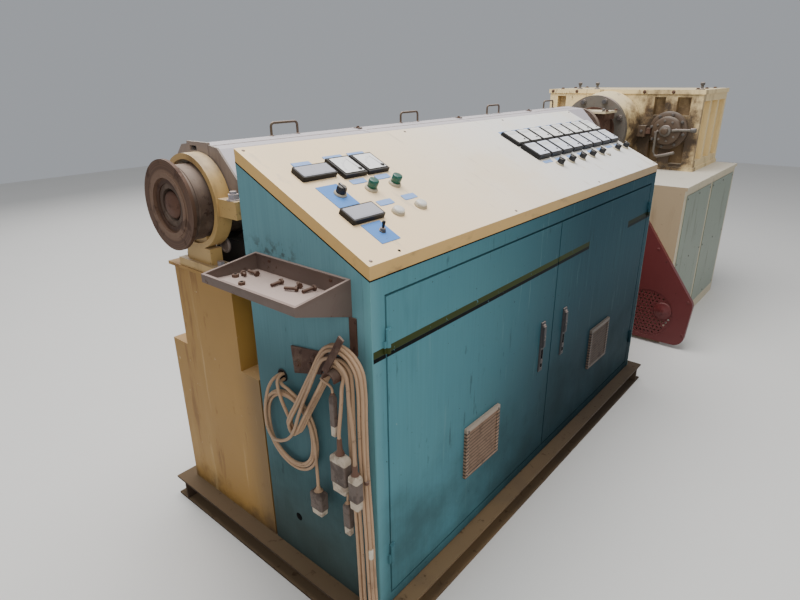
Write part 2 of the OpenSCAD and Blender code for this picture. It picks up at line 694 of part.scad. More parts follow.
// small blower on the post, beside the barrel
fan_z = post_z + 54;
module cooling_fan() color(black) place() union() {
  translate([130, post_y0 - 40, fan_z]) rotate([-90, 0, 0]) cylinder(r = 52, h = 120, $fn = 48);
  box([96, post_y0 - 12, post_z], [164, post_y0 + 60, post_z + 24]);
  translate([130, post_y0 + 20, fan_z + 40]) cylinder(r = 20, h = 18, $fn = 32);
}

// Barrel cover: four folded sheets over a half-round trough
cover_folds = [[-cover_r, -50], [-cover_r, side_up], [-shoulder_w, shoulder_up], [0, cover_up],
  [shoulder_w, shoulder_up], [cover_r, side_up], [cover_r, -50]];
module above_axis() intersection() {
  children();
  translate([-300, 0]) square([600, 300]);
}
module cover_section(i) {
  start = i == 0 ? seam[0] + 9.2 : seam[i] + cover_gap / 2;
  translate([0, axis_y, axis_z]) along_x(start, section_end[i] - cover_gap / 2 - start) above_axis()
    difference() {
      polygon(cover_folds);
      offset(delta = -cover_t) polygon(cover_folds);
    }
}
module cover_section_1() color(lilac) place() cover_section(0);
module cover_section_2() color(lilac) place() cover_section(1);
module cover_section_3() color(lilac) place() cover_section(2);
module cover_section_4() color(lilac) place() cover_section(3);
trough_x0 = clamp_l + 160;
trough_x1 = cover_end - 4;
saddle_w = 40;
module cover_trough() color(lilac) place() union() {
  difference() {
    xcyl(trough_x0, trough_x1, cover_r);
    xcyl(trough_x0 - eps, trough_x1 + eps, cover_r - cover_t);
    box([trough_x0 - eps, axis_y - 300, axis_z - 0.2], [trough_x1 + eps, axis_y + 300, axis_z + 300]);
  }
  // saddles from the bed up to the barrel
  for (i = [1 : 3]) difference() {
    box([seam[i] - saddle_w, axis_y - 120, bed_h], [seam[i] + saddle_w, axis_y + 120, axis_z - 60]);
    xcyl(seam[i] - saddle_w - eps, seam[i] + saddle_w + eps, barrel_r + 0.2);
  }
}
frame_x = clamp_l + 3;
frame_lip = 4;
module cover_end_frame() color(steel) place() difference() {
  union() {
    translate([0, axis_y, axis_z]) along_x(frame_x, 6) above_axis()
      offset(delta = frame_lip) polygon(cover_folds);
    // lug on the crown, with a slot under its bar
    box([frame_x - 2, axis_y - 49, axis_z + cover_up - 30], [frame_x + 6, axis_y + 57, axis_z + cover_up + 4]);
  }
  box([frame_x - 3, axis_y + 8, axis_z + cover_up - 20], [frame_x + 7, axis_y + 42, axis_z + cover_up - 7]);
  xcyl(frame_x - eps, frame_x + 7, clamp_in - 2);
}
// a bent rod with rounded corners
handle_bend = 12;
module handle(x) translate([x, axis_y, axis_z + cover_up]) {
  reach = handle_l / 2 - handle_r - handle_bend;
  top = handle_h - handle_r - handle_bend;
  translate([-reach, 0, top + handle_bend]) rotate([0, 90, 0])
    cylinder(r = handle_r, h = 2 * reach, $fn = 16);
  for (s = [0, 1]) mirror([s, 0, 0]) {
    translate([reach + handle_bend, 0, 0]) cylinder(r = handle_r, h = top, $fn = 16);
    translate([reach, 0, top]) rotate([90, 0, 0])
      rotate_extrude(angle = 90, $fn = 32) translate([handle_bend, 0]) circle(handle_r, $fn = 16);
  }
}
module cover_handles() color(steel) place()
  for (i = [0 : 3]) handle((seam[i] + section_end[i]) / 2);

// Feed throat: a block on a foot, with a neck to the drive flange
throat_top = axis_z + plate_up - plate_t;
throat_w = 125;
neck_x = throat_x + 70;
module feed_throat() color(rust) place() difference() {
  union() {
    box([throat_x - 70, axis_y - throat_w, axis_z - 125], [neck_x, axis_y + throat_w, throat_top]);
    box([throat_x - 70, axis_y - 140, throat_top - 36], [throat_x + 82, axis_y + 140, throat_top]);
    box([throat_x - 50, axis_y - 90, stand_h], [throat_x + 50, axis_y + 90, axis_z - 124]);
    xcyl(neck_x - eps, drive_x, 100);
    xcyl(drive_x - 22, drive_x, 118);
    xcyl(drive_x - 12, drive_x, 136);
  }
  xcyl(throat_x0 - eps, drive_x - 30, bore_r);
  translate([throat_x, axis_y, axis_z]) cylinder(r = feed_r, h = 300, $fn = 64);
}
module hopper_plate() color(cream) place() difference() {
  box([throat_x - plate_l / 2, axis_y - plate_w / 2, throat_top],
    [throat_x + plate_l / 2, axis_y + plate_w / 2, throat_top + plate_t]);
  translate([throat_x, axis_y, axis_z]) cylinder(r = feed_r, h = 300, $fn = 64);
  for (i = [-1, 1]) for (j = [-1, 1]) {
    translate([throat_x + i * bolt_x / 2, axis_y + j * bolt_y / 2, throat_top - eps])
      cylinder(r = bolt_r, h = plate_t + 2 * eps, $fn = 32);
  }
}

// Drive end
flange_bolts = 8;
module drive_flange() color(dark_steel) place() union() {
  xcyl(drive_x, drive_x + drive_t, drive_r);
  for (i = [0 : flange_bolts - 1]) {
    a = 20 + 360 * i / flange_bolts;
    bolt_ring = drive_r - 26;
    xcyl(drive_x - 14, drive_x + 1, 17, axis_y + bolt_ring * cos(a), axis_z + bolt_ring * sin(a), 24);
  }
}
// the bell's back part, let into the front of the housing
bell_step = 21;
module drive_bell() color(cream) place() translate([drive_x + drive_t, axis_y, axis_z])
  rotate([0, 90, 0]) union() {
    length = housing_x - housing_lip - drive_x - drive_t;
    cylinder(r1 = drive_r - 6, r2 = bell_r, h = length - 20, $fn = 96);
    translate([0, 0, length - 20 - eps]) cylinder(r = bell_r, h = 20 + eps, $fn = 96);
    cylinder(r = bell_r - bell_step, h = length + housing_lip, $fn = 96);
  }
// the lid and the foot of the housing stand out this far
housing_lip = 8;
window_y = [[195, 273], [340, 406], [985, 1045]];
window_z = [[housing_z - 148, housing_z - 42], [stand_h + 40, stand_h + 172]];
module drive_housing() color(cream) place() difference() {
  union() {
    box([housing_x, housing_y, stand_h], [housing_end, housing_y1 - 20, housing_z - 25]);
    for (z = [[housing_z - 25, housing_z], [stand_h, stand_h + 22]]) {
      box([housing_x - housing_lip, housing_y - housing_lip, z[0]],
        [housing_end, housing_y1 - 20 + housing_lip, z[1]]);
    }
  }
  for (y = window_y) for (z = window_z) {
    box([housing_x - eps, y[0], z[0]], [housing_x + 45, y[1], z[1]]);
  }
  // recessed panels between the ribs of the near side
  for (i = [0 : 2]) {
    x0 = housing_x + 30 + i * (housing_end - housing_x - 30) / 3;
    box([x0, housing_y - eps, stand_h + 60], [x0 + (housing_end - housing_x) / 3 - 45, housing_y + 30,
      housing_z - 65]);
  }
}
module drive_stand() color(beige) place() union() {
  box([stand_x, 0, 0], [housing_end, stand_w, stand_h - 18]);
  box([stand_x, -10, stand_h - 18], [housing_end, stand_w + 10, stand_h]);
}

// Belt guard: a sheet shell on the stand, with a round screen of holes
guard_x = stand_x - guard_t;
screen_at = [88, 180];
// plain boss in the screen
boss_at = [6, 208];
boss_r = 50;
module guard_outline() hull() {
  translate([60 - guard_out, 262]) circle(60, $fn = 32);
  translate([75 - guard_out, 80]) circle(60, $fn = 32);
  translate([bed_y0 - 152, 80]) circle(60, $fn = 32);
  translate([bed_y0 - 152, 262]) circle(60, $fn = 32);
  translate([bed_y0 - 117, 740]) circle(125, $fn = 48);
}
module belt_guard() color(dark_red) place() difference() {
  along_x(guard_x, guard_t) guard_outline();
  along_x(guard_x + guard_skin, guard_t) offset(delta = -guard_skin) guard_outline();
  xcyl(guard_x - eps, guard_x + guard_skin + eps, screen_r - 7, screen_at[0], screen_at[1]);
}
screen_n = ceil(screen_r / screen_pitch);
module guard_screen() color(dark_red) place() {
  difference() {
    xcyl(guard_x + guard_skin, guard_x + guard_skin + 3, screen_r, screen_at[0], screen_at[1]);
    for (i = [-screen_n : screen_n]) for (j = [-screen_n : screen_n]) {
      at = screen_at + screen_pitch * [i + (j % 2) / 2, j * 0.87];
      if (norm(at - screen_at) < screen_r - 15 && norm(at - boss_at) > boss_r + screen_hole + 2) {
        xcyl(guard_x, guard_x + 20, screen_hole, at[0], at[1], 16);
      }
    }
  }
  xcyl(guard_x, guard_x + guard_skin + 1, boss_r, boss_at[0], boss_at[1]);
}

base_frame();
machine_bed();
end_panel_left();
end_panel_right();
rear_panel();
cabinet_floor();
front_surround();
door_hinges();
door_left();
door_right();
door_left_vent();
door_right_vent();
door_left_latch();
door_right_latch();
desk_lid();
pointer_meters();
grey_instruments();
blue_plates();
desk_knobs();
green_buttons();
white_buttons();
controller_row_upper();
controller_row_lower();
tool_tray();
tray_strap();
cable_bracket();
cable_hank();
cable_coil();
cable_lead_1();
cable_lead_2();
cable_lead_3();
cable_lead_4();
cable_lead_5();
cable_plugs();
barrel_stand();
barrel();
barrel_flange();
screw();
clamp_cap();
clamp_base();
clamp_bolts();
cooling_fan();
cover_end_frame();
cover_section_1();
cover_section_2();
cover_section_3();
cover_section_4();
cover_handles();
cover_trough();
feed_throat();
hopper_plate();
drive_flange();
drive_bell();
drive_housing();
drive_stand();
belt_guard();
guard_screen();
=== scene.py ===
from itertools import product
import math

import bmesh
import bpy
from mathutils import Matrix, Vector


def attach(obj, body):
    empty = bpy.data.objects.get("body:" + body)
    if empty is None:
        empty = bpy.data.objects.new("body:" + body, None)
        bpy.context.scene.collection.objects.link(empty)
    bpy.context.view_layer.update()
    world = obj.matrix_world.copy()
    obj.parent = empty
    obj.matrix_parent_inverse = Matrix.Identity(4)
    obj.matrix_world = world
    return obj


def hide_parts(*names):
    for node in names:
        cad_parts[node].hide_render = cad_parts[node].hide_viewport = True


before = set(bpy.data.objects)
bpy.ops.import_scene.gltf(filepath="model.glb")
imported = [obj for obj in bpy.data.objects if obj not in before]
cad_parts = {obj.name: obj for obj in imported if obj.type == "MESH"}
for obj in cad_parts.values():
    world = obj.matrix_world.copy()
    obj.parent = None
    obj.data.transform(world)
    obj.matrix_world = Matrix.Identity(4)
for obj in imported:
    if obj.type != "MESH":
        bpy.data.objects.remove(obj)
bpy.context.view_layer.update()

# Places are in millimetres: x from the cabinet's outlet-end panel along the
# screw, y from its front face to the back, z up from the floor.
MID_X = 1700
MID_Y = 493
CABINET_L = 1874
AXIS_Y = 690
AXIS_Z = 1137
HOUSING_X = 3000
HOUSING_Z = 1370
DESK_Z = 1085
DESK_D = 448
DESK_RISE = 215
DESK_ANGLE = math.atan2(DESK_RISE, DESK_D)


def at(x, y, z):
    """a place in millimetres, in the shared frame's metres"""
    return Vector(((x - MID_X) / 1000, (y - MID_Y) / 1000, z / 1000))


def placed(name, data):
    """a new object in the scene"""
    thing = bpy.data.objects.new(name, data)
    bpy.context.scene.collection.objects.link(thing)
    return thing


# Camera, from the photograph's vanishing lines
EYE = Vector((-2.5268, -1.2851, 1.4591))
camera_data = bpy.data.cameras.new("camera")
camera_data.sensor_width = 36
camera_data.lens = 25.53
camera_data.clip_end = 60
camera = placed("camera", camera_data)
right = Vector((0.64705, -0.76238, -0.01033))
down = Vector((-0.28538, -0.22961, -0.93051))
forward = Vector((0.70702, 0.60503, -0.36613))
turn = Matrix((right, -down, -forward)).transposed().to_4x4()
camera.matrix_world = Matrix.Translation(EYE) @ turn
bpy.context.scene.camera = camera

# Materials: a small set of helpers around Blender's own texture nodes.
# Colours are as the eye names them, 0 to 255; places here are in metres.
RELIEF_DEPTH = 0.0006


def shade(red, green, blue):
    """a colour in linear light"""
    parts = []
    for value in (red, green, blue):
        v = value / 255
        parts.append(v / 12.92 if v < 0.04045 else ((v + 0.055) / 1.055) ** 2.4)
    return (*parts, 1.0)


class Surface:
    """one material, built up from a base colour by masks"""

    def __init__(self, name, colour, roughness=0.5, metallic=0.0, specular=0.4):
        self.material = bpy.data.materials.new(name)
        self.material.use_nodes = True
        self.material.diffuse_color = shade(*colour)
        self.tree = self.material.node_tree
        self.shader = self.tree.nodes["Principled BSDF"]
        self.shader.inputs["Metallic"].default_value = metallic
        self.shader.inputs["Specular IOR Level"].default_value = specular
        self.place = self.add("TexCoord").outputs["Object"]
        self.colour = self.add("RGB").outputs[0]
        self.colour.default_value = shade(*colour)
        self.rough = roughness

    def add(self, kind, **inputs):
        """a new node, whose inputs are linked or given values by their names"""
        node = self.tree.nodes.new("ShaderNode" + kind)
        for name, value in inputs.items():
            self.set(node.inputs[name], value)
        return node

    def set(self, socket, value):
        """links a socket to another one, or gives it a value"""
        if isinstance(value, bpy.types.NodeSocket):
            self.tree.links.new(value, socket)
        else:
            socket.default_value = value

    def maths(self, operation, a, b=0.0):
        node = self.add("Math")
        node.operation = operation
        self.set(node.inputs[0], a)
        self.set(node.inputs[1], b)
        return node.outputs[0]

    def both(self, a, b):
        return self.maths("MULTIPLY", a, b)

    def ramp(self, value, low, high):
        """0 where value is under low, 1 where it is over high, or the other way round"""
        node = self.add("MapRange", Value=value)
        node.interpolation_type = "SMOOTHSTEP"
        self.set(node.inputs["From Min"], min(low, high))
        self.set(node.inputs["From Max"], max(low, high))
        node.inputs["To Min"].default_value = 0.0 if low < high else 1.0
        node.inputs["To Max"].default_value = 1.0 if low < high else 0.0
        return node.outputs["Result"]

    def noise(self, scale, stretch=(1, 1, 1), detail=5, rough=0.6, shift=0.0):
        moved = (shift, shift * 0.7, shift * 1.3)
        place = self.add("Mapping", Vector=self.place, Scale=stretch, Location=moved).outputs[0]
        node = self.add("TexNoise", Vector=place, Scale=scale, Detail=detail, Roughness=rough)
        return node.outputs["Fac"]

    def patch(self, scale, low, high, **how):
        """a mask of soft blotches"""
        return self.ramp(self.noise(scale, **how), low, high)

    def axis(self, letter, of="place"):
        source = self.place
        if of == "normal":
            source = self.add("NewGeometry").outputs["Normal"]
        return self.add("SeparateXYZ", Vector=source).outputs[letter]

    def along(self, letter, low, high, of="place"):
        return self.ramp(self.axis(letter, of), low, high)

    def facing_up(self, low=0.5, high=0.9):
        return self.along("Z", low, high, "normal")

    def band(self, letter, low, high, soft=0.002):
        """a mask that is 1 between two places"""
        value = self.axis(letter)
        rise = self.ramp(value, low - soft, low + soft)
        fall = self.ramp(value, high + soft, high - soft)
        return self.both(rise, fall)

    def distance(self, centre, mask):
        """how far a place lies from a point, along the axes that the mask keeps"""
        away = self.place
        for operation, value in [("SUBTRACT", at(*centre)), ("MULTIPLY", mask), ("LENGTH", (0, 0, 0))]:
            node = self.add("VectorMath")
            node.operation = operation
            self.set(node.inputs[0], away)
            node.inputs[1].default_value = value
            away = node.outputs[0]
        return node.outputs["Value"]

    def over(self, mask, colour, amount=1.0, rough=None):
        """lays a colour over what is there, where the mask is 1"""
        if amount != 1.0:
            mask = self.both(mask, amount)
        node = self.add("Mix", Factor=mask)
        node.data_type = "RGBA"
        self.set(node.inputs[6], self.colour)
        self.set(node.inputs[7], shade(*colour))
        self.colour = node.outputs[2]
        if rough is not None:
            blend = self.add("Mix", Factor=mask)
            self.set(blend.inputs[2], self.rough)
            self.set(blend.inputs[3], rough)
            self.rough = blend.outputs[0]

    def blotch(self, scale, low, high, colour, amount=1.0, rough=None, **how):
        self.over(self.patch(scale, low, high, **how), colour, amount, rough)

    def vary(self, scale, amount):
        """lightens and darkens the colour by a soft noise"""
        value = self.maths("MULTIPLY_ADD", self.noise(scale), amount * 2)
        value.node.inputs[2].default_value = 1 - amount
        self.colour = self.add("HueSaturation", Value=value, Color=self.colour).outputs["Color"]

    def done(self, scale=0, strength=0.0, detail=5):
        """the finished material, with a fine relief where its scale is given"""
        self.set(self.shader.inputs["Base Color"], self.colour)
        self.set(self.shader.inputs["Roughness"], self.rough)
        if scale:
            height = self.noise(scale, detail=detail)
            bump = self.add("Bump", Height=height, Strength=strength, Distance=RELIEF_DEPTH)
            self.set(self.shader.inputs["Normal"], bump.outputs[0])
        return self.material


# Stripe across the doors: a green line over a black one, with a bare place in it
STRIPE_LOW = 0.851
STRIPE_MID = 0.862
STRIPE_TOP = 0.880
STRIPE_EDGE = 0.0004
BARE_X = (-0.506, -0.108)


def turquoise(name, stripe):
    """cabinet paint: sun-faded, with runs, scuffs and dark grime low down; painted shade darkens it
    towards the drive end, on the doors' lower right, on the stripe's right part and on the end panel
    below the tray, and a painted highlight runs along the front-left corner
    """
    s = Surface(name, (88, 140, 150) if stripe else (104, 146, 154), 0.5, 0.0, 0.06)
    s.vary(1.7, 0.12)
    s.blotch(2.4, 0.45, 0.75, (96, 146, 152), 0.35, shift=4)
    # painted shade: darker towards the drive end
    s.over(s.along("X", -1.70, -0.45), (14, 44, 58), 0.86)
    s.blotch(9, 0.54, 0.74, (54, 92, 100), 0.22, 0.6, stretch=(1.6, 1.6, 0.3))
    s.blotch(70, 0.40, 0.62, (66, 104, 114), 0.12, stretch=(2, 2, 0.03), shift=17)
    s.blotch(16, 0.62, 0.70, (120, 158, 158), 0.2, stretch=(4, 4, 0.22), shift=7)
    s.blotch(22, 0.66, 0.70, (38, 56, 58), 0.2, stretch=(3, 3, 0.12), shift=11)
    s.blotch(30, 0.66, 0.74, (32, 42, 42), 0.3, 0.7, stretch=(1, 1, 0.4), shift=2)
    s.blotch(70, 0.70, 0.73, (46, 36, 30), 0.8, 0.8, shift=9)
    s.blotch(46, 0.72, 0.76, (150, 176, 168), 0.6, stretch=(1, 1, 0.6), shift=14)
    scratched = s.patch(14, 0.63, 0.66, stretch=(5, 5, 0.5), shift=21)
    s.over(s.both(scratched, s.patch(3, 0.5, 0.6, shift=8)), (28, 44, 46), 0.4)
    low = s.ramp(s.maths("ADD", s.axis("Z"), s.noise(4, shift=3)), 1.05, 0.50)
    s.over(low, (44, 54, 50), 0.6, 0.75)
    if stripe:
        # painted shadow of the next machine on the doors' lower right, then a painted highlight along
        # the front-left corner
        shaded = s.both(s.along("X", -1.50, -0.75), s.along("Z", 0.82, 0.36))
        s.over(shaded, (6, 18, 26), 0.5)
        s.over(s.along("X", -1.655, -1.70), (118, 168, 174), 0.45)
        painted = s.maths("SUBTRACT", 1.0, s.band("X", *BARE_X, 0.001))
        worn = s.both(painted, s.patch(60, 0.70, 0.66, shift=5))
        mark = s.both(worn, s.along("Y", -0.490, -0.492))
        s.over(s.both(s.band("Z", STRIPE_MID, STRIPE_TOP, STRIPE_EDGE), mark), (58, 66, 34), 1.0, 0.5)
        s.over(s.both(s.band("Z", STRIPE_LOW, STRIPE_MID, STRIPE_EDGE), mark), (8, 12, 14), 1.0, 0.5)
        # the stripe goes darker towards the right: painted shade
        whole = s.band("Z", STRIPE_LOW, STRIPE_TOP, STRIPE_EDGE)
        s.over(s.both(s.both(whole, s.along("X", -0.9, -0.1)), mark), (24, 32, 34), 0.7)
    else:
        # painted shade on the end panel below the tray
        s.over(s.along("Z", 0.95, 0.72), (22, 40, 42), 0.55)
        s.over(s.along("Z", 0.50, 0.15), (66, 64, 54), 0.5)
        corner = s.both(s.band("Y", -0.25, -0.07, 0.05), s.band("Z", 1.03, 1.08, 0.03))
        s.over(s.both(corner, s.patch(44, 0.48, 0.62)), (66, 62, 52), 0.6, 0.85)
        # a painted highlight along the front corner
        s.over(s.along("Y", -0.46, -0.493), (110, 166, 170), 0.5)
    return s.done(160, 0.08, detail=2)


def enamel(name, colour, dirt, dust=0.25):
    """machine enamel with grime in runs and dust on what faces up"""
    s = Surface(name, colour, 0.45)
    s.vary(2.5, 0.12)
    s.blotch(6, 0.55, 0.75, dirt, 0.55, 0.7, stretch=(2, 2, 0.35))
    s.blotch(40, 0.64, 0.72, dirt, 0.6, 0.8, shift=5)
    s.over(s.facing_up(), (196, 186, 172), dust, 0.8)
    s.blotch(90, 0.70, 0.74, (70, 52, 40), 0.8, 0.85, shift=8)
    return s.done(220, 0.12, detail=3)


def housing_paint(name):
    """cream housing, black with grease round the hub on its front, with painted shade in its window
    recesses
    """
    s = Surface(name, (226, 202, 150), 0.5)
    s.vary(2.5, 0.12)
    s.blotch(6, 0.52, 0.75, (150, 118, 76), 0.6, 0.7, stretch=(2, 2, 0.3))
    front = s.along("X", 1.352, 1.347)
    ragged = s.both(s.noise(13, detail=8, rough=0.7, shift=5), 0.45)
    spread = s.maths("ADD", s.distance((HOUSING_X, 330, 1085), (1, 1, 1)), ragged)
    s.over(s.both(front, s.ramp(spread, 0.58, 0.40)), (104, 80, 56), 0.85, 0.6)
    s.over(s.both(front, s.ramp(spread, 0.46, 0.36)), (42, 32, 27), 0.85, 0.5)
    s.over(s.both(front, s.patch(30, 0.56, 0.66, stretch=(1, 1, 0.3))), (84, 62, 42), 0.6)
    # painted shade inside the window recesses
    s.over(s.band("X", 1.303, 1.352), (140, 114, 80), 0.5)
    s.over(s.facing_up(), (206, 196, 176), 0.35, 0.8)
    return s.done(220, 0.12, detail=3)


def stand_paint(name):
    """drive stand: pale dusty top, tan on the face towards the cabinet"""
    s = Surface(name, (196, 184, 156), 0.5)
    s.vary(2.5, 0.12)
    s.over(s.along("X", -0.5, -0.8, "normal"), (156, 132, 102), 0.8, 0.7)
    s.blotch(6, 0.55, 0.75, (128, 106, 78), 0.5, 0.7, stretch=(2, 2, 0.35))
    s.blotch(40, 0.64, 0.72, (120, 100, 76), 0.5, 0.8, shift=5)
    s.over(s.facing_up(), (206, 202, 196), 0.5, 0.8)
    return s.done(220, 0.12, detail=3)


def base_paint(name):
    """base frame: ochre worn to brown steel, darkest at the outlet end from rust and painted shade, and
    darkened towards the drive end by painted shade
    """
    s = Surface(name, (112, 88, 60), 0.6, 0.0, 0.15)
    s.vary(5, 0.2)
    s.blotch(7, 0.46, 0.66, (80, 64, 52), 0.7, 0.8, stretch=(0.6, 0.6, 1))
    # darker at the outlet end: rust, and partly painted shade
    s.over(s.along("X", -1.60, -1.72), (50, 40, 36), 0.8, 0.85)
    s.over(s.facing_up(), (132, 112, 86), 0.45, 0.85)
    # painted shade: darker towards the drive end
    s.over(s.along("X", -1.5, -0.2), (48, 46, 46), 0.7)
    s.blotch(30, 0.60, 0.70, (62, 42, 30), 0.6, 0.9, shift=3)
    return s.done(130, 0.25)


def ochre_paint(name):
    """bed and barrel's pedestal: ochre enamel, rubbed pale and rusted in patches, with a painted shadow
    low on the side that faces the cabinet
    """
    s = Surface(name, (158, 120, 58), 0.55)
    s.vary(3.2, 0.16)
    s.blotch(5, 0.5, 0.8, (186, 152, 92), 0.5, stretch=(1.6, 1.6, 0.25))
    s.blotch(9, 0.58, 0.70, (128, 92, 52), 0.7, 0.7, stretch=(2, 2, 0.3), shift=6)
    s.blotch(30, 0.66, 0.74, (226, 214, 186), 0.5, shift=3)
    # painted shadow on the bed's side that faces the cabinet, low down
    s.over(s.both(s.along("Y", 0.10, -0.03), s.along("Z", 0.84, 0.60)), (84, 66, 40), 0.65)
    low = s.ramp(s.maths("ADD", s.axis("Z"), s.both(s.noise(9), 0.3)), 0.32, 0.16)
    s.over(low, (72, 54, 42), 0.9, 0.85)
    s.blotch(7, 0.58, 0.72, (208, 182, 130), 0.45, stretch=(2.5, 2.5, 0.22), shift=12)
    s.blotch(26, 0.62, 0.72, (98, 66, 42), 0.28, 0.9, stretch=(1, 1, 0.5), shift=9)
    s.over(s.facing_up(), (180, 150, 112), 0.4, 0.85)
    return s.done(130, 0.2)


def rusted(name, colour, pale, amount=0.5, dust=0.3):
    """steel gone brown, with a dusty bloom and dark pits"""
    s = Surface(name, colour, 0.72, 0.25)
    s.vary(9, 0.22)
    s.blotch(22, 0.46, 0.66, pale, amount, 0.8)
    s.blotch(60, 0.58, 0.68, (46, 28, 20), 0.7, 0.9, shift=4)
    s.over(s.facing_up(0.1, 0.95), (168, 150, 136), dust, 0.9)
    return s.done(300, 0.35)


def plastic(name, colour, rough=0.4, dust=0.25, specular=0.5):
    """moulded plastic with dust on top and fine specks of dirt"""
    s = Surface(name, colour, rough, 0.0, specular)
    s.vary(12, 0.08)
    s.over(s.facing_up(0.4, 1.0), (180, 170, 158), dust, 0.8)
    s.blotch(120, 0.62, 0.72, (90, 78, 66), 0.35, 0.8)
    return s.done(700, 0.08)


def grubby(name, colour, dirt):
    """rubber and plastic of the plugs, dark where hands and dust have been"""
    s = Surface(name, colour, 0.55)
    s.vary(14, 0.16)
    s.blotch(30, 0.46, 0.64, dirt, 0.6, 0.8)
    s.blotch(110, 0.62, 0.70, (60, 46, 38), 0.6, 0.85, shift=6)
    return s.done(500, 0.15)


LOUVRE_LOW = 0.310
BLADES_A_METRE = 80


def louvre(name):
    """grille paint, with painted shade between the blades and towards the drive end, and a painted
    highlight on its top rail
    """
    s = Surface(name, (150, 122, 100), 0.6)
    s.vary(12, 0.15)
    s.blotch(20, 0.5, 0.7, (86, 66, 54), 0.6, 0.8)
    # the painted shade of the gaps between the blades runs out over the frame's sides
    blade = s.maths("FRACT", s.both(s.maths("SUBTRACT", s.axis("Z"), LOUVRE_LOW), BLADES_A_METRE))
    s.over(s.both(s.ramp(blade, 0.52, 0.60), s.along("Z", 0.462, 0.460)), (40, 30, 26), 0.85)
    # a painted highlight on the top rail
    s.over(s.along("Z", 0.459, 0.464), (168, 156, 142), 0.7)
    # painted shade: darker towards the drive end
    s.over(s.along("X", -1.15, -0.35), (42, 42, 44), 0.7)
    return s.done(220, 0.15)


def desk_paint(name):
    """cream lid: pale dusty top, tan rim where the dirt of hands has stayed"""
    s = Surface(name, (212, 172, 106), 0.5)
    s.vary(5, 0.14)
    s.blotch(18, 0.56, 0.70, (140, 108, 74), 0.5, stretch=(0.5, 1, 1))
    s.over(s.along("X", -1.3, 0.1), (160, 142, 118), 0.7)
    top = s.facing_up(0.80, 0.88)
    s.over(top, (250, 220, 174), 1.0, 0.42)
    s.over(s.both(top, s.along("X", -1.75, -0.3)), (228, 230, 230), 0.85)
    s.over(s.both(top, s.patch(3, 0.45, 0.7, shift=5)), (236, 214, 178), 0.45)
    s.over(s.both(top, s.patch(26, 0.60, 0.72, stretch=(1, 0.3, 0.3))), (196, 182, 160), 0.4, 0.6)
    s.over(s.both(top, s.patch(110, 0.70, 0.74, shift=3)), (120, 96, 70), 0.6)
    return s.done(240, 0.06)


def hood_paint(name):
    """lilac-grey paint of the barrel's cover, dusty on the crown"""
    s = Surface(name, (184, 177, 182), 0.5)
    s.vary(3, 0.10)
    s.blotch(8, 0.52, 0.72, (172, 164, 158), 0.5, stretch=(0.4, 2, 2))
    s.blotch(50, 0.66, 0.72, (140, 110, 84), 0.5, 0.8, shift=4)
    s.over(s.facing_up(0.6, 1.0), (192, 184, 180), 0.35, 0.8)
    return s.done(180, 0.1)


def dusty_steel(name, colour=(150, 136, 130), metallic=0.35, dark_lip=False):
    """bare steel, dull with dust; the tray's has a darker lip"""
    s = Surface(name, colour, 0.55, metallic)
    s.vary(8, 0.15)
    s.blotch(14, 0.5, 0.7, (104, 88, 80), 0.6, 0.75)
    s.blotch(46, 0.62, 0.70, (78, 54, 42), 0.7, 0.85, shift=6)
    s.over(s.facing_up(0.6, 0.98), (192, 172, 162), 0.8, 0.9)
    if dark_lip:
        s.over(s.along("Z", 1.018, 1.030), (104, 86, 78), 0.6)
    return s.done(350, 0.2)


def cable_jacket(name, colour, dark):
    """old rubber cable, greyed and stained along its length"""
    s = Surface(name, colour, 0.55)
    s.vary(6, 0.14)
    s.blotch(11, 0.50, 0.72, dark, 0.55, 0.7)
    s.blotch(60, 0.62, 0.70, (88, 66, 50), 0.5, 0.8, shift=3)
    return s.done(500, 0.1)


def flange_steel(name):
    """turned rings about the screw's axis, gone brown"""
    s = Surface(name, (88, 64, 50), 0.6, 0.3)
    out = s.distance((0, AXIS_Y, AXIS_Z), (0, 1, 1))
    rings = s.add("TexNoise", Scale=160)
    rings.noise_dimensions = "1D"
    s.set(rings.inputs["W"], out)
    s.over(s.both(s.ramp(out, 0.074, 0.077), s.ramp(out, 0.098, 0.095)), (138, 112, 94), 0.6, 0.7)
    s.over(s.ramp(rings.outputs["Fac"], 0.45, 0.62), (120, 94, 76), 0.45, 0.7)
    s.over(s.ramp(out, 0.074, 0.066), (52, 34, 28), 0.55)
    s.over(s.ramp(out, 0.042, 0.036), (108, 76, 62), 0.6)
    s.blotch(24, 0.52, 0.66, (60, 40, 32), 0.6, 0.85)
    s.blotch(70, 0.62, 0.70, (130, 92, 66), 0.4, 0.9, shift=5)
    return s.done(320, 0.25)


turquoise_front = turquoise("turquoise_front", True)
turquoise_side = turquoise("turquoise_side", False)
desk_cream = desk_paint("desk_cream")
ochre = ochre_paint("ochre")
cream = enamel("cream", (214, 196, 160), (120, 94, 66), 0.4)
housing_cream = housing_paint("housing_cream")
base_brown = base_paint("base_brown")
grease = enamel("grease", (84, 68, 54), (30, 24, 20), 0.3)
latch_grey = dusty_steel("latch_grey", (74, 72, 74), 0.3)
clamp_cream = enamel("clamp_cream", (186, 154, 100), (100, 74, 50), 0.3)
stand_beige = stand_paint("stand_beige")
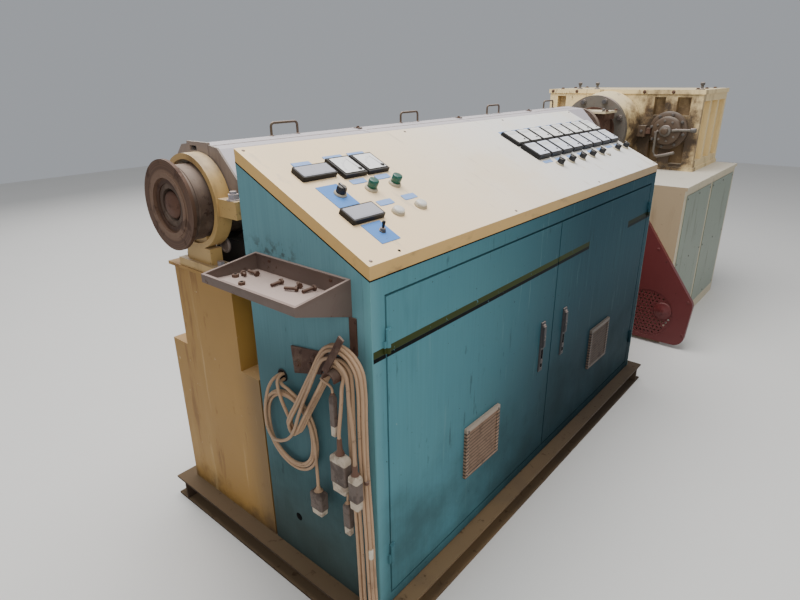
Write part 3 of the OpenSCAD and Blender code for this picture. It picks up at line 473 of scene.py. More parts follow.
# grey-green: the stand's beige as it looks in shade, painted shade
stand_beige_in_shade = enamel("stand_beige_in_shade", (128, 138, 124), (90, 84, 66))
grille = louvre("grille")
hood = hood_paint("hood")
rust = rusted("rust", (84, 58, 46), (122, 96, 80))
barrel_rust = rusted("barrel_rust", (86, 70, 60), (124, 106, 92), 0.45, 0.55)
bracket_rust = rusted("bracket_rust", (78, 54, 44), (128, 106, 90), 0.5)
flange_brown = flange_steel("flange_steel")
steel = dusty_steel("steel")
tray_steel = dusty_steel("tray_steel", (108, 92, 84), 0.15, dark_lip=True)
dark_steel = dusty_steel("dark_steel", (96, 92, 88), 0.3)
frame_grey = enamel("frame_grey", (136, 122, 114), (92, 74, 62), 0.3)
bolt_grey = dusty_steel("bolt_grey", (148, 144, 150), 0.3)
disc_steel = dusty_steel("disc_steel", (106, 100, 92), 0.2)
handle_steel = dusty_steel("handle_steel", (88, 74, 58), 0.3)
red = enamel("guard_red", (96, 42, 42), (52, 28, 28), 0.1)
black = plastic("black_plastic", (30, 30, 32))
bezel = plastic("bezel_black", (24, 24, 26), 0.45, 0.1, 0.2)
face_white = plastic("face_white", (238, 236, 232), 0.4, 0.05)
face_lilac = plastic("face_lilac", (222, 224, 234), 0.4, 0.05)
instrument_grey = plastic("instrument_grey", (164, 164, 174), 0.45, 0.2)
label_blue = plastic("label_blue", (72, 134, 206), 0.4, 0.05)
label_pale = plastic("label_pale", (132, 168, 222), 0.4, 0.1)
button_green = plastic("button_green", (16, 84, 72), 0.3, 0.12)
button_white = plastic("button_white", (220, 218, 212), 0.35, 0.2)
button_rim = plastic("button_rim", (176, 164, 140), 0.45, 0.2)
plug_grey = grubby("plug_grey", (100, 86, 78), (64, 52, 46))
face_mark = plastic("face_mark", (214, 214, 214), 0.4, 0.1)
clip_white = plastic("clip_white", (206, 196, 176), 0.5, 0.1)
plug_cream = grubby("plug_cream", (190, 176, 156), (112, 90, 74))
tape_brown = plastic("tape_brown", (96, 66, 50), 0.6, 0.2)
jacket = cable_jacket("jacket", (176, 144, 114), (120, 92, 72))
jacket_dark = cable_jacket("jacket_dark", (166, 136, 108), (112, 86, 68))
# black for the insides of holes, slots and recesses and the line under the lid: painted shade
shade_black = plastic("shade_black", (12, 12, 13), 0.9, 0.0, 0.1)

# Cables: the bar that carries the hank, as y and z, the bend over it, half the
# hank's width, and the slanting leg that hangs back to the left
CABLE_R = 4.5
THIN_R = 3
BAR = Vector((66, 820))
BEND = 49.5
COLUMN = 22.5
LEG_L = 280
LEG_ANGLE = math.radians(31)
LEG_OUT = Vector((math.cos(LEG_ANGLE), math.sin(LEG_ANGLE)))
LEG_WAY = Vector((-LEG_OUT.y, LEG_OUT.x))
LEG_END = BAR + BEND * LEG_OUT - LEG_L * LEG_WAY
FALL = [(16.5, 710), (16.5, 600), (12, 490), (8, 380), (6, 265), (4, 150)]
TURN_STEPS = 6


def swing(centre, radius, start, end, steps):
    """points on an arc from one angle to another"""
    points = []
    for i in range(steps + 1):
        a = start + (end - start) * i / steps
        points.append((centre[0] + radius * math.cos(a), centre[1] + radius * math.sin(a)))
    return points


def pass_over(side):
    """one strand from the hank's left end over the bar to its foot, as y and z"""
    top = BAR + (BEND + side) * LEG_OUT
    points = [tuple(top - LEG_WAY * LEG_L * k) for k in (1, 0.75, 0.5, 0.25)]
    points += swing(BAR, BEND + side, LEG_ANGLE, math.pi, 7)
    return points + [(y - side, z) for y, z in FALL]


# Each turn goes down the inner column and comes back up the outer one; the last
# pass ends on the bar. A pass is its place across the hank and its depth.
PASSES = [(-22.5, 33.5), (22.5, 33.5), (-13.5, 38), (22.5, 43.5), (-22.5, 43.5), (13.5, 47),
          (-22.5, 53.5)]
LAST_POINTS = 11
hank_route = []
for i, (side, depth) in enumerate(PASSES):
    way = pass_over(side)
    if i % 2:
        way.reverse()
    if i == len(PASSES) - 1:
        hank_route += [(-depth, y, z) for y, z in way[:LAST_POINTS]]
        break
    hank_route += [(-depth, y, z) for y, z in way]
    next_side, next_depth = PASSES[i + 1]
    middle = (side + next_side) / 2
    half = (next_side - side) / 2
    if i % 2:
        centre = LEG_END + LEG_OUT * middle
        turned = swing(centre, -half, LEG_ANGLE, LEG_ANGLE - math.pi, TURN_STEPS)
    else:
        centre = (FALL[-1][0] - middle, FALL[-1][1])
        turned = swing(centre, half, 0, -math.pi, TURN_STEPS)
    for k, (y, z) in enumerate(turned[1:-1], 1):
        hank_route.append((-depth - (next_depth - depth) * k / TURN_STEPS, y, z))

first_turn = swing(LEG_END, COLUMN, LEG_ANGLE - 1.1, LEG_ANGLE - math.pi, 4)[:-1]
to_plug_1 = [(2, 331, 715), (-10, 331, 715), (-24, 329, 708), (-33, 320, 690), (-34, 310, 662),
             (-33.5, 303, 645), (-33.5, 293, 628.5), (-33.5, 283, 612)]
to_plug_1 += [(-PASSES[0][1], y, z) for y, z in first_turn] + hank_route
to_plug_1 += [(-61.5, 39, 806), (-64, 40, 775), (-66, 43, 740), (-70, 45, 705), (-72.5, 45.5, 684),
              (-72.6, 45.5, 672)]

# the loose coil, an upright oval: its centre as y and z, half the straight sides
COIL = (308, 553)
STRAIGHT = 16
COIL_X = -13.5
COIL_STEPS = 18
COIL_IN = 2
COIL_OUT = 2.6


def coil_point(turns, radius, x):
    """a place on the oval, after so many turns from its top"""
    a = math.pi / 2 + turns * 2 * math.pi
    lift = STRAIGHT if math.sin(a) > 0.01 else -STRAIGHT if math.sin(a) < -0.01 else 0
    return (x, COIL[0] + radius * math.cos(a), COIL[1] + lift + radius * math.sin(a))


# two turns that close in, then one that widens and comes forward over them
to_plug_3 = [(2, 330, 699), (-8, 330, 699), (-17, 326, 698), (-20, 315, 693), (-18, 298, 687)]
for i in range(2, 59):
    turns = i / COIL_STEPS
    if turns < COIL_IN:
        to_plug_3.append(coil_point(turns, 110.5 - 10.5 * turns, COIL_X))
    else:
        step = max(0, (turns - COIL_OUT) / 0.64)
        to_plug_3.append(coil_point(turns, 89 + 21 * step, COIL_X - 10 * min(1, 3 * step)))
to_plug_3 += [(-24, 194.6, 500), (-30, 187, 478), (-34, 182, 458), (-36, 180, 440)]

to_plug_2 = [(2, 343, 711), (-10, 343, 711), (-24, 345, 706), (-36, 352, 688), (-42, 362, 655),
             (-44, 371, 615), (-44, 374, 575), (-46, 364, 544), (-51, 340, 532), (-57, 312, 540),
             (-63, 280, 556), (-64, 248, 580), (-64, 226, 612), (-64, 205, 660), (-64, 178, 716),
             (-64, 150, 768), (-64, 124, 818), (-64, 108, 845), (-64, 92, 862), (-64, 66, 869.5),
             (-64, 41, 862), (-64, 23, 845), (-64, 17, 820), (-64, 16, 780), (-65, 10, 740),
             (-67, 4, 700), (-70, 0, 660), (-73.6, -4, 632), (-74, -4, 620)]
to_plug_5 = [(-62.2, 108, 806), (-65, 98, 806), (-66.6, 84, 804), (-66.6, 72, 800), (-66.6, 66.5, 792),
             (-66.6, 66, 784)]
to_plug_4 = [(-42, 45.4, 545), (-42, 50, 520), (-42, 57, 490), (-42, 60.8, 470), (-42, 61, 460)]


def cable(name, route, radius, material, nodes):
    """a round cable along its route, which ends in a plug"""
    data = bpy.data.curves.new(name, "CURVE")
    data.dimensions = "3D"
    data.bevel_depth = radius / 1000
    data.bevel_resolution = 3
    data.use_fill_caps = True
    spline = data.splines.new("BEZIER")
    spline.bezier_points.add(len(route) - 1)
    spline.resolution_u = 5
    for knot, point in zip(spline.bezier_points, route):
        knot.co = at(*point)
        knot.handle_left_type = "AUTO"
        knot.handle_right_type = "AUTO"
    data.materials.append(material)
    piece = placed(name, data)
    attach(piece, "frame")
    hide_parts(*nodes)


# Directions of screws, bolts and turned parts
UP = (0, 0, 1)
DOWN = (0, 0, -1)
TO_FRONT = (0, -1, 0)
TO_BACK = (0, 1, 0)
TO_OUTLET = (-1, 0, 0)
TO_DRIVE = (1, 0, 0)

# Faces of a box, whose corners are listed by x, then y, then z
BOX_FACES = [(0, 1, 3, 2), (4, 6, 7, 5), (0, 4, 5, 1), (2, 3, 7, 6), (0, 2, 6, 4), (1, 5, 7, 3)]


class Shape:
    """hard pieces of one body, collected in one mesh with a material to each part"""

    def __init__(self, name, body="frame", where=Matrix.Identity(4)):
        self.name = name
        self.body = body
        self.where = where
        self.mesh = bmesh.new()
        self.materials = []

    def keep(self, points, faces, material, smooth=False):
        if material not in self.materials:
            self.materials.append(material)
        made = [self.mesh.verts.new(at(*(self.where @ Vector(p)))) for p in points]
        for face in faces:
            new = self.mesh.faces.new([made[i] for i in face])
            new.material_index = self.materials.index(material)
            new.smooth = smooth

    def box(self, low, high, material):
        self.keep(list(product(*zip(low, high))), BOX_FACES, material)

    def loft(self, rings, material, smooth, closed=False):
        """a skin over rings of as many points each, capped unless it closes on itself"""
        count = len(rings)
        sides = len(rings[0])
        faces = []
        for i in range(count if closed else count - 1):
            j = (i + 1) % count
            for k in range(sides):
                n = (k + 1) % sides
                faces.append((i * sides + k, i * sides + n, j * sides + n, j * sides + k))
        if not closed:
            faces.append(tuple(reversed(range(sides))))
            faces.append(tuple((count - 1) * sides + k for k in range(sides)))
        self.keep([point for ring in rings for point in ring], faces, material, smooth)

    def lathe(self, base, axis, profile, material, sides=32):
        """profile is a list of radius and height along the axis, from one end to the other"""
        axis = Vector(axis).normalized()
        side = axis.orthogonal().normalized()
        other = axis.cross(side)
        rings = []
        for radius, height in profile:
            centre = Vector(base) + axis * height
            rings.append([centre + side * y + other * z for y, z in circle(sides, max(radius, 0.01))])
        self.loft(rings, material, smooth=sides > 8)

    def lathes(self, bases, *how):
        for base in bases:
            self.lathe(base, *how)

    def bolt(self, base, axis, radius, height, material):
        """a hexagon head with a chamfered top, on a washer"""
        start = Vector(base)
        washer_h = radius * 0.2
        self.lathe(start, axis, [(radius * 1.5, 0), (radius * 1.5, washer_h)], material, 24)
        self.lathe(start + Vector(axis) * washer_h, axis,
                   [(radius, 0), (radius, height * 0.82), (radius * 0.86, height)], material, 6)

    def tube(self, path, radius, material, sides=10, closed=False):
        """a round bar along a path"""
        count = len(path)
        rings = []
        for i, p in enumerate(path):
            before = path[(i - 1) % count] if closed else path[max(i - 1, 0)]
            after = path[(i + 1) % count] if closed else path[min(i + 1, count - 1)]
            way = (Vector(after) - Vector(before)).normalized()
            side = way.cross(Vector((0.13, 0.21, 0.97))).normalized()
            other = way.cross(side)
            rings.append([Vector(p) + side * y + other * z for y, z in circle(sides, radius)])
        self.loft(rings, material, smooth=True, closed=closed)

    def plate(self, outline, low, high, material):
        """an outline of x and y, raised from one height to another"""
        rings = [[(x, y, height) for x, y in outline] for height in (low, high)]
        self.loft(rings, material, smooth=False)

    def done(self, slot, bevel=0.6, replaces=()):
        """the finished piece, on its body, with its sharp edges eased"""
        data = bpy.data.meshes.new(self.name)
        bmesh.ops.recalc_face_normals(self.mesh, faces=self.mesh.faces)
        self.mesh.to_mesh(data)
        self.mesh.free()
        for material in self.materials:
            data.materials.append(material)
        piece = placed(self.name, data)
        if bevel:
            edge = piece.modifiers.new("bevel", "BEVEL")
            edge.width = bevel / 1000
            edge.segments = 2
            edge.limit_method = "ANGLE"
            edge.angle_limit = math.radians(50)
            edge.harden_normals = False
        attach(piece, self.body)
        if replaces:
            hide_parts(*replaces)
        return piece


def circle(count, radius, start=0):
    """places round a circle, as pairs of offsets, from a start in degrees"""
    angles = [math.radians(start + 360 * k / count) for k in range(count)]
    return [(radius * math.cos(a), radius * math.sin(a)) for a in angles]


def rounded(low, high, radius, steps=4):
    """a rectangle's outline with rounded corners"""
    points = []
    corners = [(high[0], high[1]), (low[0], high[1]), (low[0], low[1]), (high[0], low[1])]
    for quarter, (x, y) in enumerate(corners):
        x += radius if x == low[0] else -radius
        y += radius if y == low[1] else -radius
        for i in range(steps + 1):
            a = math.radians(90 * (quarter + i / steps))
            points.append((x + radius * math.cos(a), y + radius * math.sin(a)))
    return points


# a plug's sections from its mouth down: share of the full size, share of its length, part
PLUG_STEPS = [(0.62, 0, "cap"), (0.94, 0.06, "cap"), (1.0, 0.12, "cap"), (1.0, 0.20, "hull"),
              (0.97, 0.46, "hull"), (1.0, 0.74, "hull"), (0.88, 0.75, "tail"), (0.84, 0.99, "tail")]


def plug(name, entry, width, depth, neck, body, cord_r, cap, sleeve):
    """a plug that hangs from its cable: a sleeve, a ribbed hull and a pale mating end"""
    x, y, z = entry
    paints = {"cap": cap, "hull": plug_grey, "tail": plug_cream}
    w = width / 2
    d = depth / 2
    top = z - neck
    s = Shape(name)
    s.lathe((x, y, z + 1), DOWN, [(cord_r + 0.6, 0), (cord_r + 1.6, 3), (cord_r + 2.2, neck * 0.7),
                                  (depth * 0.46, neck)], sleeve, 24)
    for (size, down, part), (next_size, next_down, _) in zip(PLUG_STEPS, PLUG_STEPS[1:]):
        rings = []
        for share, fall in [(next_size, next_down), (size, down)]:
            outline = rounded((-d * share, -w * share), (d * share, w * share), 0.34 * d * share)
            rings.append([(x + px, y + py, top - body * fall) for px, py in outline])
        s.loft(rings, paints[part], smooth=False)
    # grip ribs, the slots of the mating end as black boxes of painted shade, and a screw on the wider
    # plugs
    for k in range(3):
        h = top - body * (0.30 + 0.1 * k)
        s.box((x - d * 0.99, y - w * 0.7, h - 1.4), (x - d * 0.8, y + w * 0.7, h + 1.4), plug_grey)
    for side in (-1, 1):
        slot = y + side * w * 0.42
        foot = top - body
        s.box((x - d * 0.5, slot - 1.5, foot), (x + d * 0.5, slot + 1.5, foot + 3), shade_black)
    if width > 20:
        s.lathe((x - d * 0.99, y, top - body * 0.64), TO_OUTLET, [(3, 0), (2.6, 0.4)], dark_steel, 16)
    return s.done("grey_plastic", 0.5, ["cable_plugs"])


plug_3 = plug("plug_3", to_plug_3[-1], 46, 28, 14, 74, CABLE_R, plug_grey, jacket_dark)
plug_1 = plug("plug_1", to_plug_1[-1], 52, 26, 44, 108, CABLE_R, plug_cream, tape_brown)
plug_2 = plug("plug_2", to_plug_2[-1], 30, 24, 26, 98, CABLE_R, plug_cream, tape_brown)
plug_5 = plug("plug_5", to_plug_5[-1], 16, 14, 4, 112, THIN_R, plug_grey, tape_brown)
plug_4 = plug("plug_4", to_plug_4[-1], 24, 18, 6, 98, THIN_R, plug_grey, jacket_dark)

cable("cable_to_plug_1", to_plug_1, CABLE_R, jacket, ["cable_lead_2", "cable_hank"])
cable("cable_to_plug_3", to_plug_3, CABLE_R, jacket, ["cable_lead_1", "cable_coil"])
cable("cable_to_plug_2", to_plug_2, CABLE_R, jacket_dark, ["cable_lead_3"])
cable("cable_to_plug_5", to_plug_5, THIN_R, jacket_dark, ["cable_lead_4"])
cable("cable_to_plug_4", to_plug_4, THIN_R, jacket_dark, ["cable_lead_5"])

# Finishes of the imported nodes
FINISHES = [
    (turquoise_front, "door_left", "door_right", "front_surround", "door_hinges"),
    (turquoise_side, "end_panel_left", "end_panel_right", "rear_panel", "cabinet_floor"),
    (desk_cream, "desk_lid"),
    (ochre, "machine_bed", "barrel_stand"),
    (grille, "door_left_vent", "door_right_vent"),
    (clamp_cream, "clamp_cap", "clamp_base"),
    (cream, "hopper_plate"),
    (housing_cream, "drive_housing", "drive_bell"),
    (base_brown, "base_frame"),
    (stand_beige, "drive_stand"),
    (hood, "cover_section_1", "cover_section_2", "cover_section_3", "cover_section_4", "cover_trough"),
    (rust, "tray_strap", "feed_throat"),
    (bracket_rust, "cable_bracket"),
    (barrel_rust, "barrel"),
    (flange_brown, "barrel_flange", "screw"),
    (frame_grey, "cover_end_frame"),
    (bolt_grey, "clamp_bolts"),
    (disc_steel, "drive_flange"),
    (latch_grey, "door_left_latch", "door_right_latch"),
    (tray_steel, "tool_tray"),
    (handle_steel, "cover_handles"),
    (red, "belt_guard", "guard_screen"),
    (bezel, "pointer_meters", "controller_row_upper", "controller_row_lower", "grey_instruments",
     "cooling_fan"),
    (label_blue, "blue_plates"),
]
for material, *names in FINISHES:
    for name in names:
        node = bpy.data.objects[name]
        node.data.materials.clear()
        node.data.materials.append(material)

# Desk: x along the machine, then up the slope from the front lip, then out of the desk
ON_DESK = Matrix.Translation((0, 0, DESK_Z)) @ Matrix.Rotation(DESK_ANGLE, 4, "X")
CONTROLLER_X = CABINET_L - 780
PITCH = 96
COLUMN_X = [CONTROLLER_X + PITCH * i for i in range(8)]

# Pointer meters: scale, needle and the black cap over the pivot
SCALE_MARKS = 13
faces = Shape("meter_faces", where=ON_DESK)
for x, s in [(202, 300), (290, 300)]:
    faces.plate(rounded((x + 7, s + 7), (x + 75, s + 77), 2), 13.4, 13.9, face_white)
    cx = x + 66
    cs = s + 16
    for i in range(SCALE_MARKS):
        long_mark = i % 3 == 0
        a = math.radians(96 + 78 * i / (SCALE_MARKS - 1))
        way = Vector((math.cos(a), math.sin(a)))
        across = Vector((-way.y, way.x)) * (0.55 if long_mark else 0.35)
        inner = Vector((cx, cs)) + way * 44
        outer = Vector((cx, cs)) + way * (53 if long_mark else 50)
        faces.plate([inner - across, outer - across, outer + across, inner + across], 13.9, 14.1,
                    instrument_grey)
    faces.plate([(cx - 1, cs), (cx - 8, cs + 47), (cx - 7.4, cs + 47.2), (cx + 1, cs)], 14.4, 14.8,
                instrument_grey)
    faces.lathe((cx, cs, 13.9), UP, [(6, 0), (6, 1.4), (4.6, 2.2)], bezel, 24)
faces.done("black_plastic", 0.15)

fronts = Shape("instrument_fronts", where=ON_DESK)
for x, s, w, d in [(76, 317, 114, 51), (73, 130, 109, 54)]:
    fronts.plate(rounded((x + 4.5, s + 4.5), (x + w - 4.5, s + d - 4.5), 3), 13, 14, instrument_grey)
    fronts.plate(rounded((x + 8, s + 8), (x + w - 8, s + d - 8), 2), 14, 14.4, instrument_grey)
fronts.done("grey_plastic", 0.4)

# Controllers: face, two display strips and the small set screw
controls = Shape("controller_faces", where=ON_DESK)
for s, top, paint in [(300, 14, face_white), (204, 18, face_lilac)]:
    face = top + 1
    for x in COLUMN_X:
        controls.plate(rounded((x + 5.5, s + 5.5), (x + 80.5, s + 80.5), 2), top, face, paint)
        controls.plate(rounded((x + 14, s + 56), (x + 72, s + 72), 1), face, face + 0.3, face_mark)
        controls.plate(rounded((x + 14, s + 38), (x + 50, s + 48), 1), face, face + 0.3, face_white)
        controls.lathe((x + 66, s + 20, face), UP, [(4.5, 0), (4.2, 1.4), (3, 1.8)], bezel, 16)
controls.done("white_plastic", 0.3)

strips = Shape("label_strips", where=ON_DESK)
for x, s, w, d in [(101, 374, 60, 26), (213, 390, 70, 19), (304, 390, 66, 19), (206, 272, 56, 20),
                   (300, 272, 55, 20), (208, 170, 56, 22), (304, 170, 54, 22)]:
    strips.plate(rounded((x + 1, s + 1), (x + w - 1, s + d - 1), 1.5), 1, 1.5, label_pale)
for x in COLUMN_X:
    for low, high in [(392, 404), (178, 192)]:
        strips.plate(rounded((x + 10, low), (x + 70, high), 1.5), 1, 1.4, label_pale)
strips.done("blue_plate", 0)


def knob(shape, x, s, base):
    """a ribbed pointer knob on a pale skirt"""
    shape.lathe((x, s, base), UP, [(17, 0), (17, 3), (15, 5.5)], button_rim, 40)
    shape.lathe((x, s, base), UP, [(12.6, 5.5), (12.2, 8), (11.4, 20), (10.6, 22.4), (9, 23.2)],
                black, 40)
    for dx, ds in circle(12, 12):
        shape.lathe((x + dx, s + ds, base + 6), UP, [(1.2, 0), (1.0, 12), (0.4, 14)], black, 8)
    shape.box((x - 3, s - 13, base + 20), (x + 3, s + 13, base + 25.5), black)
    shape.box((x - 0.8, s + 2, base + 25.5), (x + 0.8, s + 12.5, base + 25.9), face_white)


# Knobs, and the toggle with its nut; a small lamp has the place of the sixth knob
PLATE_TOP = 1.5
LAMP_COLUMN = 5
knobs = Shape("knobs", where=ON_DESK)
knob(knobs, 136, 246, PLATE_TOP)
for i, x in enumerate(COLUMN_X):
    if i != LAMP_COLUMN:
        knob(knobs, x + (86 if i < LAMP_COLUMN else 66), 157, 0)
knobs.lathe((130, 88, PLATE_TOP), UP, [(9.5, 0), (9.5, 2), (7.5, 3), (7.5, 7), (5.5, 8.5)],
            dark_steel, 6)
knobs.lathe((130, 88, 6), (0, 0.24, 0.97), [(2.4, 0), (3, 6), (4, 16), (4.6, 19), (3.6, 21)],
            bezel, 24)
knobs.done("black_plastic", 0.3, ["desk_knobs"])

RIM_H = 7
push = Shape("push_buttons_green", where=ON_DESK)
for x, s in [(244, 242), (337, 242)]:
    push.lathe((x, s, 0), UP, [(18, 0), (18, 2), (16.5, 5), (14.5, RIM_H)], button_rim, 40)
    push.lathe((x, s, RIM_H), UP, [(13.4, 0), (13.4, 10), (13.8, 12), (13.8, 19), (12.6, 21.4), (9, 22)],
               button_green, 40)
push.done("green_plastic", 0, ["green_buttons"])

push = Shape("push_buttons_white", where=ON_DESK)
for x, s in [(237, 135), (330, 137)]:
    push.lathe((x, s, 0), UP, [(18, 0), (18, 2), (17, 5), (15.5, RIM_H)], button_rim, 40)
    push.lathe((x, s, RIM_H), UP, [(15, 0), (15, 3), (13.6, 5.4), (10, 6.8), (5, 7.4)],
               button_white, 40)
lamp_x = CONTROLLER_X + 513
push.lathe((lamp_x, 140, 0), UP, [(11.5, 0), (11.5, 3), (9.4, 4.6)], button_rim, 32)
push.lathe((lamp_x, 140, 4.6), UP, [(8.6, 0), (8.2, 3.4), (5, 5.2)], button_white, 32)
push.done("white_plastic", 0, ["white_buttons"])

rims = Shape("desk_fixings", where=ON_DESK)
# a small hole in the desk, drawn as a black disc of painted shade
rims.lathe((115, 16, 0), UP, [(4.2, 0), (4.2, 0.3)], shade_black, 24)
rims.lathes(product((18, 640, 1250, CABINET_L - 18), (14, 482), (0,)), UP,
            [(4.5, 0), (4.3, 0.8), (2.6, 1.6)], handle_steel, 20)
rims.done("cream_paint", 0)


def door_details(body, vent_x, latch_x):
    """a door's grille screws, and its latch: a pull whose recess is a black sheet of painted shade, a
    thumb plate and a lock
    """
    s = Shape(body + "_fixings", body)
    s.lathes(product((vent_x - 85, vent_x + 85), (-10,), (305, 465)), TO_FRONT,
             [(4, 0), (3.8, 1), (2.4, 1.6)], dark_steel, 16)
    s.box((latch_x - 10, -5.5, 480), (latch_x + 10, -4, 656), latch_grey)
    s.box((latch_x - 6.5, -6, 492), (latch_x + 6.5, -5.4, 560), shade_black)
    s.box((latch_x - 7, -9, 640), (latch_x + 7, -5, 656), steel)
    s.lathe((latch_x, -12.1, 610), TO_FRONT, [(5, 0), (5, 1.5), (3.8, 2.2)], dark_steel, 24)
    s.box((latch_x - 5, -13.6, 574), (latch_x + 5, -12, 600), latch_grey)
    s.lathes([(latch_x, -5.4, 485), (latch_x, -5.4, 622)], TO_FRONT, [(3.2, 0), (3, 1), (1.8, 1.5)],
             latch_grey, 16)
    s.done("bare_steel", 0.5)


door_details("left_door", 484, 859)
door_details("right_door", 1400, 1029)

# Tray: loose bolts and nuts on its sloping floor, and the two bolts that hold it.
# Each has its x and y, the way it points in degrees and its length, 0 for a nut.
LOOSE = [(-64, 372, 250, 12), (-85, 374, 0, 0), (-44, 340, 90, 30), (-111, 311, 0, 0),
         (-40, 250, 185, 28), (-52, 178, 120, 26), (-36, 190, 60, 18), (-18, 158, 178, 30)]
TRAY_Z = 1000
TRAY_SLOPE = 9 / 160
bolts = Shape("loose_bolts")
for x, y, turned_by, length in LOOSE:
    z = TRAY_Z - x * TRAY_SLOPE
    if length:
        a = math.radians(turned_by)
        way = (math.cos(a), math.sin(a), 0)
        shank = [(4, 6.8)]
        for k in range(length // 2):
            shank += [(4.3, 8 + 2 * k), (3.7, 9 + 2 * k)]
        bolts.lathe((x, y, z + 7), way, [(7.6, 0), (7.6, 5.6), (6.4, 6.4)], rust, 6)
        bolts.lathe((x, y, z + 7), way, shank, rust, 12)
    else:
        bolts.lathe((x, y, z), UP, [(8.6, 0), (9, 1), (9, 7), (8.4, 8)], rust, 6)
        # the nut's hole, a black disc of painted shade
        bolts.lathe((x, y, z + 8), UP, [(4.4, 0), (4.4, 0.2)], shade_black, 16)
bolts.lathes([(-3, 344, 1032), (-3, 120, 1030)], TO_OUTLET, [(5, 0), (4.8, 2), (3, 3.2)], rust, 16)
bolts.done("rusty_steel", 0.4)

# End panel: cable ties and a clip, a black strip under the lid as a painted shadow line, the openings as
# black discs of painted shade
tape = Shape("cable_tape")
for x, y, z, high, paint in [(-44.2, -17.2, 352, 30, clip_white), (-38.5, 31, 520, 9, tape_brown),
                             (-43.4, -10.6, 560, 9, tape_brown)]:
    tape.lathe((x, y, z), (0.01, 0.03, -1), [(5, 0), (6.2, 1.5), (6.2, high - 1.5), (5, high)],
               paint, 20)
tape.done("beige_cable", 0)

# a black strip under the lid's lip along its front and ends: a painted shadow line
LID_SHADOW_Z = 1050
lid_shadow_strip = Shape("lid_shadow_line")
lid_shadow_strip.box((-0.6, -0.6, LID_SHADOW_Z), (CABINET_L + 0.6, 0, LID_SHADOW_Z + 3), shade_black)
for x in (-0.6, CABINET_L):
    ends = [(0, LID_SHADOW_Z), (DESK_D, LID_SHADOW_Z + DESK_RISE)]
    corners = [(x + dx, y, z + dz) for dz in (0, 3) for y, z in ends for dx in (0, 0.6)]
    lid_shadow_strip.keep(corners, BOX_FACES, shade_black)
lid_shadow_strip.done("black_plastic", 0)

ENTRY_Y = 337
ENTRY_Z = 708
holes = Shape("panel_openings")
# the openings, black discs of painted shade inside them
holes.lathe((-0.2, 324, 229), TO_OUTLET, [(13, 0), (12, 0.6)], shade_black, 32)
holes.lathe((-0.2, ENTRY_Y, ENTRY_Z), TO_OUTLET, [(15.8, 0), (15.8, 0.3)], shade_black, 32)
holes.tube([(-1.5, ENTRY_Y + dy, ENTRY_Z + dz) for dy, dz in circle(32, 17)], 2.4, bezel, 8, True)
for y, z in [(262, 770), (196, 806), (210, 782)]:
    holes.bolt((-5, y, z), TO_OUTLET, 8, 6, rust)
holes.done("black_plastic", 0.3)

# Screw's blunt tip in the outlet
tip = Shape("screw_tip")
tip.lathe((-48.5, AXIS_Y, AXIS_Z), TO_OUTLET,
          [(39, 0), (37, 5), (32, 9.5), (24, 13), (14, 15.4), (4, 16.4)], flange_brown, 48)
tip.done("rusty_steel", 0)

# Blower under the barrel: its case and inlet ring
blower = Shape("blower_case")
blower.plate(rounded((72, 548), (200, 708), 8), 937, 1026, bezel)
blower.lathe((71.5, 648, 1004), TO_OUTLET, [(24, 0), (24, 6), (18, 8), (18, 2), (0.5, 2)], steel, 32)
blower.done("black_plastic", 0.5)

# Barrel: bands that stand a little out of it
BARREL_SKIN = 106.4
bands = Shape("barrel_rings")
for x0, x1, r in [(-38, -30, 108), (120, 136, 109), (2462, 2500, 110)]:
    long = x1 - x0
    bands.lathe((x0, AXIS_Y, AXIS_Z), TO_DRIVE,
                [(BARREL_SKIN, 0), (r, 1.5), (r, long - 1.5), (BARREL_SKIN, long)], barrel_rust, 96)
bands.done("rusty_steel", 0)

# Cover: seam bands with clips on the crown, and the long crease of the near side as a darker strip of
# painted shade
FOLDS = [(-172, 0), (-172, 61), (-88, 145), (0, 156), (88, 145), (172, 61), (172, 0)]
SEAMS_X = [664, 1282, 1900]
seams = Shape("cover_seams")
for x in SEAMS_X:
    rings = []
    for end, scale in [(x - 12, 1.009), (x + 12, 1.009), (x + 12, 1.0015), (x - 12, 1.0015)]:
        rings.append([(end, AXIS_Y + y * scale, AXIS_Z + z * scale) for y, z in FOLDS])
    seams.loft([list(column) for column in zip(*rings)], hood, smooth=False)
    seams.box((x - 8, AXIS_Y - 34, AXIS_Z + 151), (x + 8, AXIS_Y - 6, AXIS_Z + 158), handle_steel)
    seams.bolt((x, AXIS_Y - 20, AXIS_Z + 158), UP, 5, 4, rust)
# the crease, a darker strip: painted shade along the fold
for x0, x1 in [(56, 652), (676, 1270), (1294, 1888), (1912, 2400)]:
    seams.box((x0, AXIS_Y - 47, AXIS_Z + 149.6), (x1, AXIS_Y - 43, AXIS_Z + 151.2), frame_grey)
seams.done("lilac_paint", 0)

feet = Shape("handle_feet")
for x in (355, 973, 1591, 2151.5):
    feet.lathes([(x + dx, AXIS_Y, AXIS_Z + 155) for dx in (-52, 52)], UP, [(8, 0), (7.6, 1.8), (5, 3)],
                handle_steel, 24)
feet.done("bare_steel", 0)

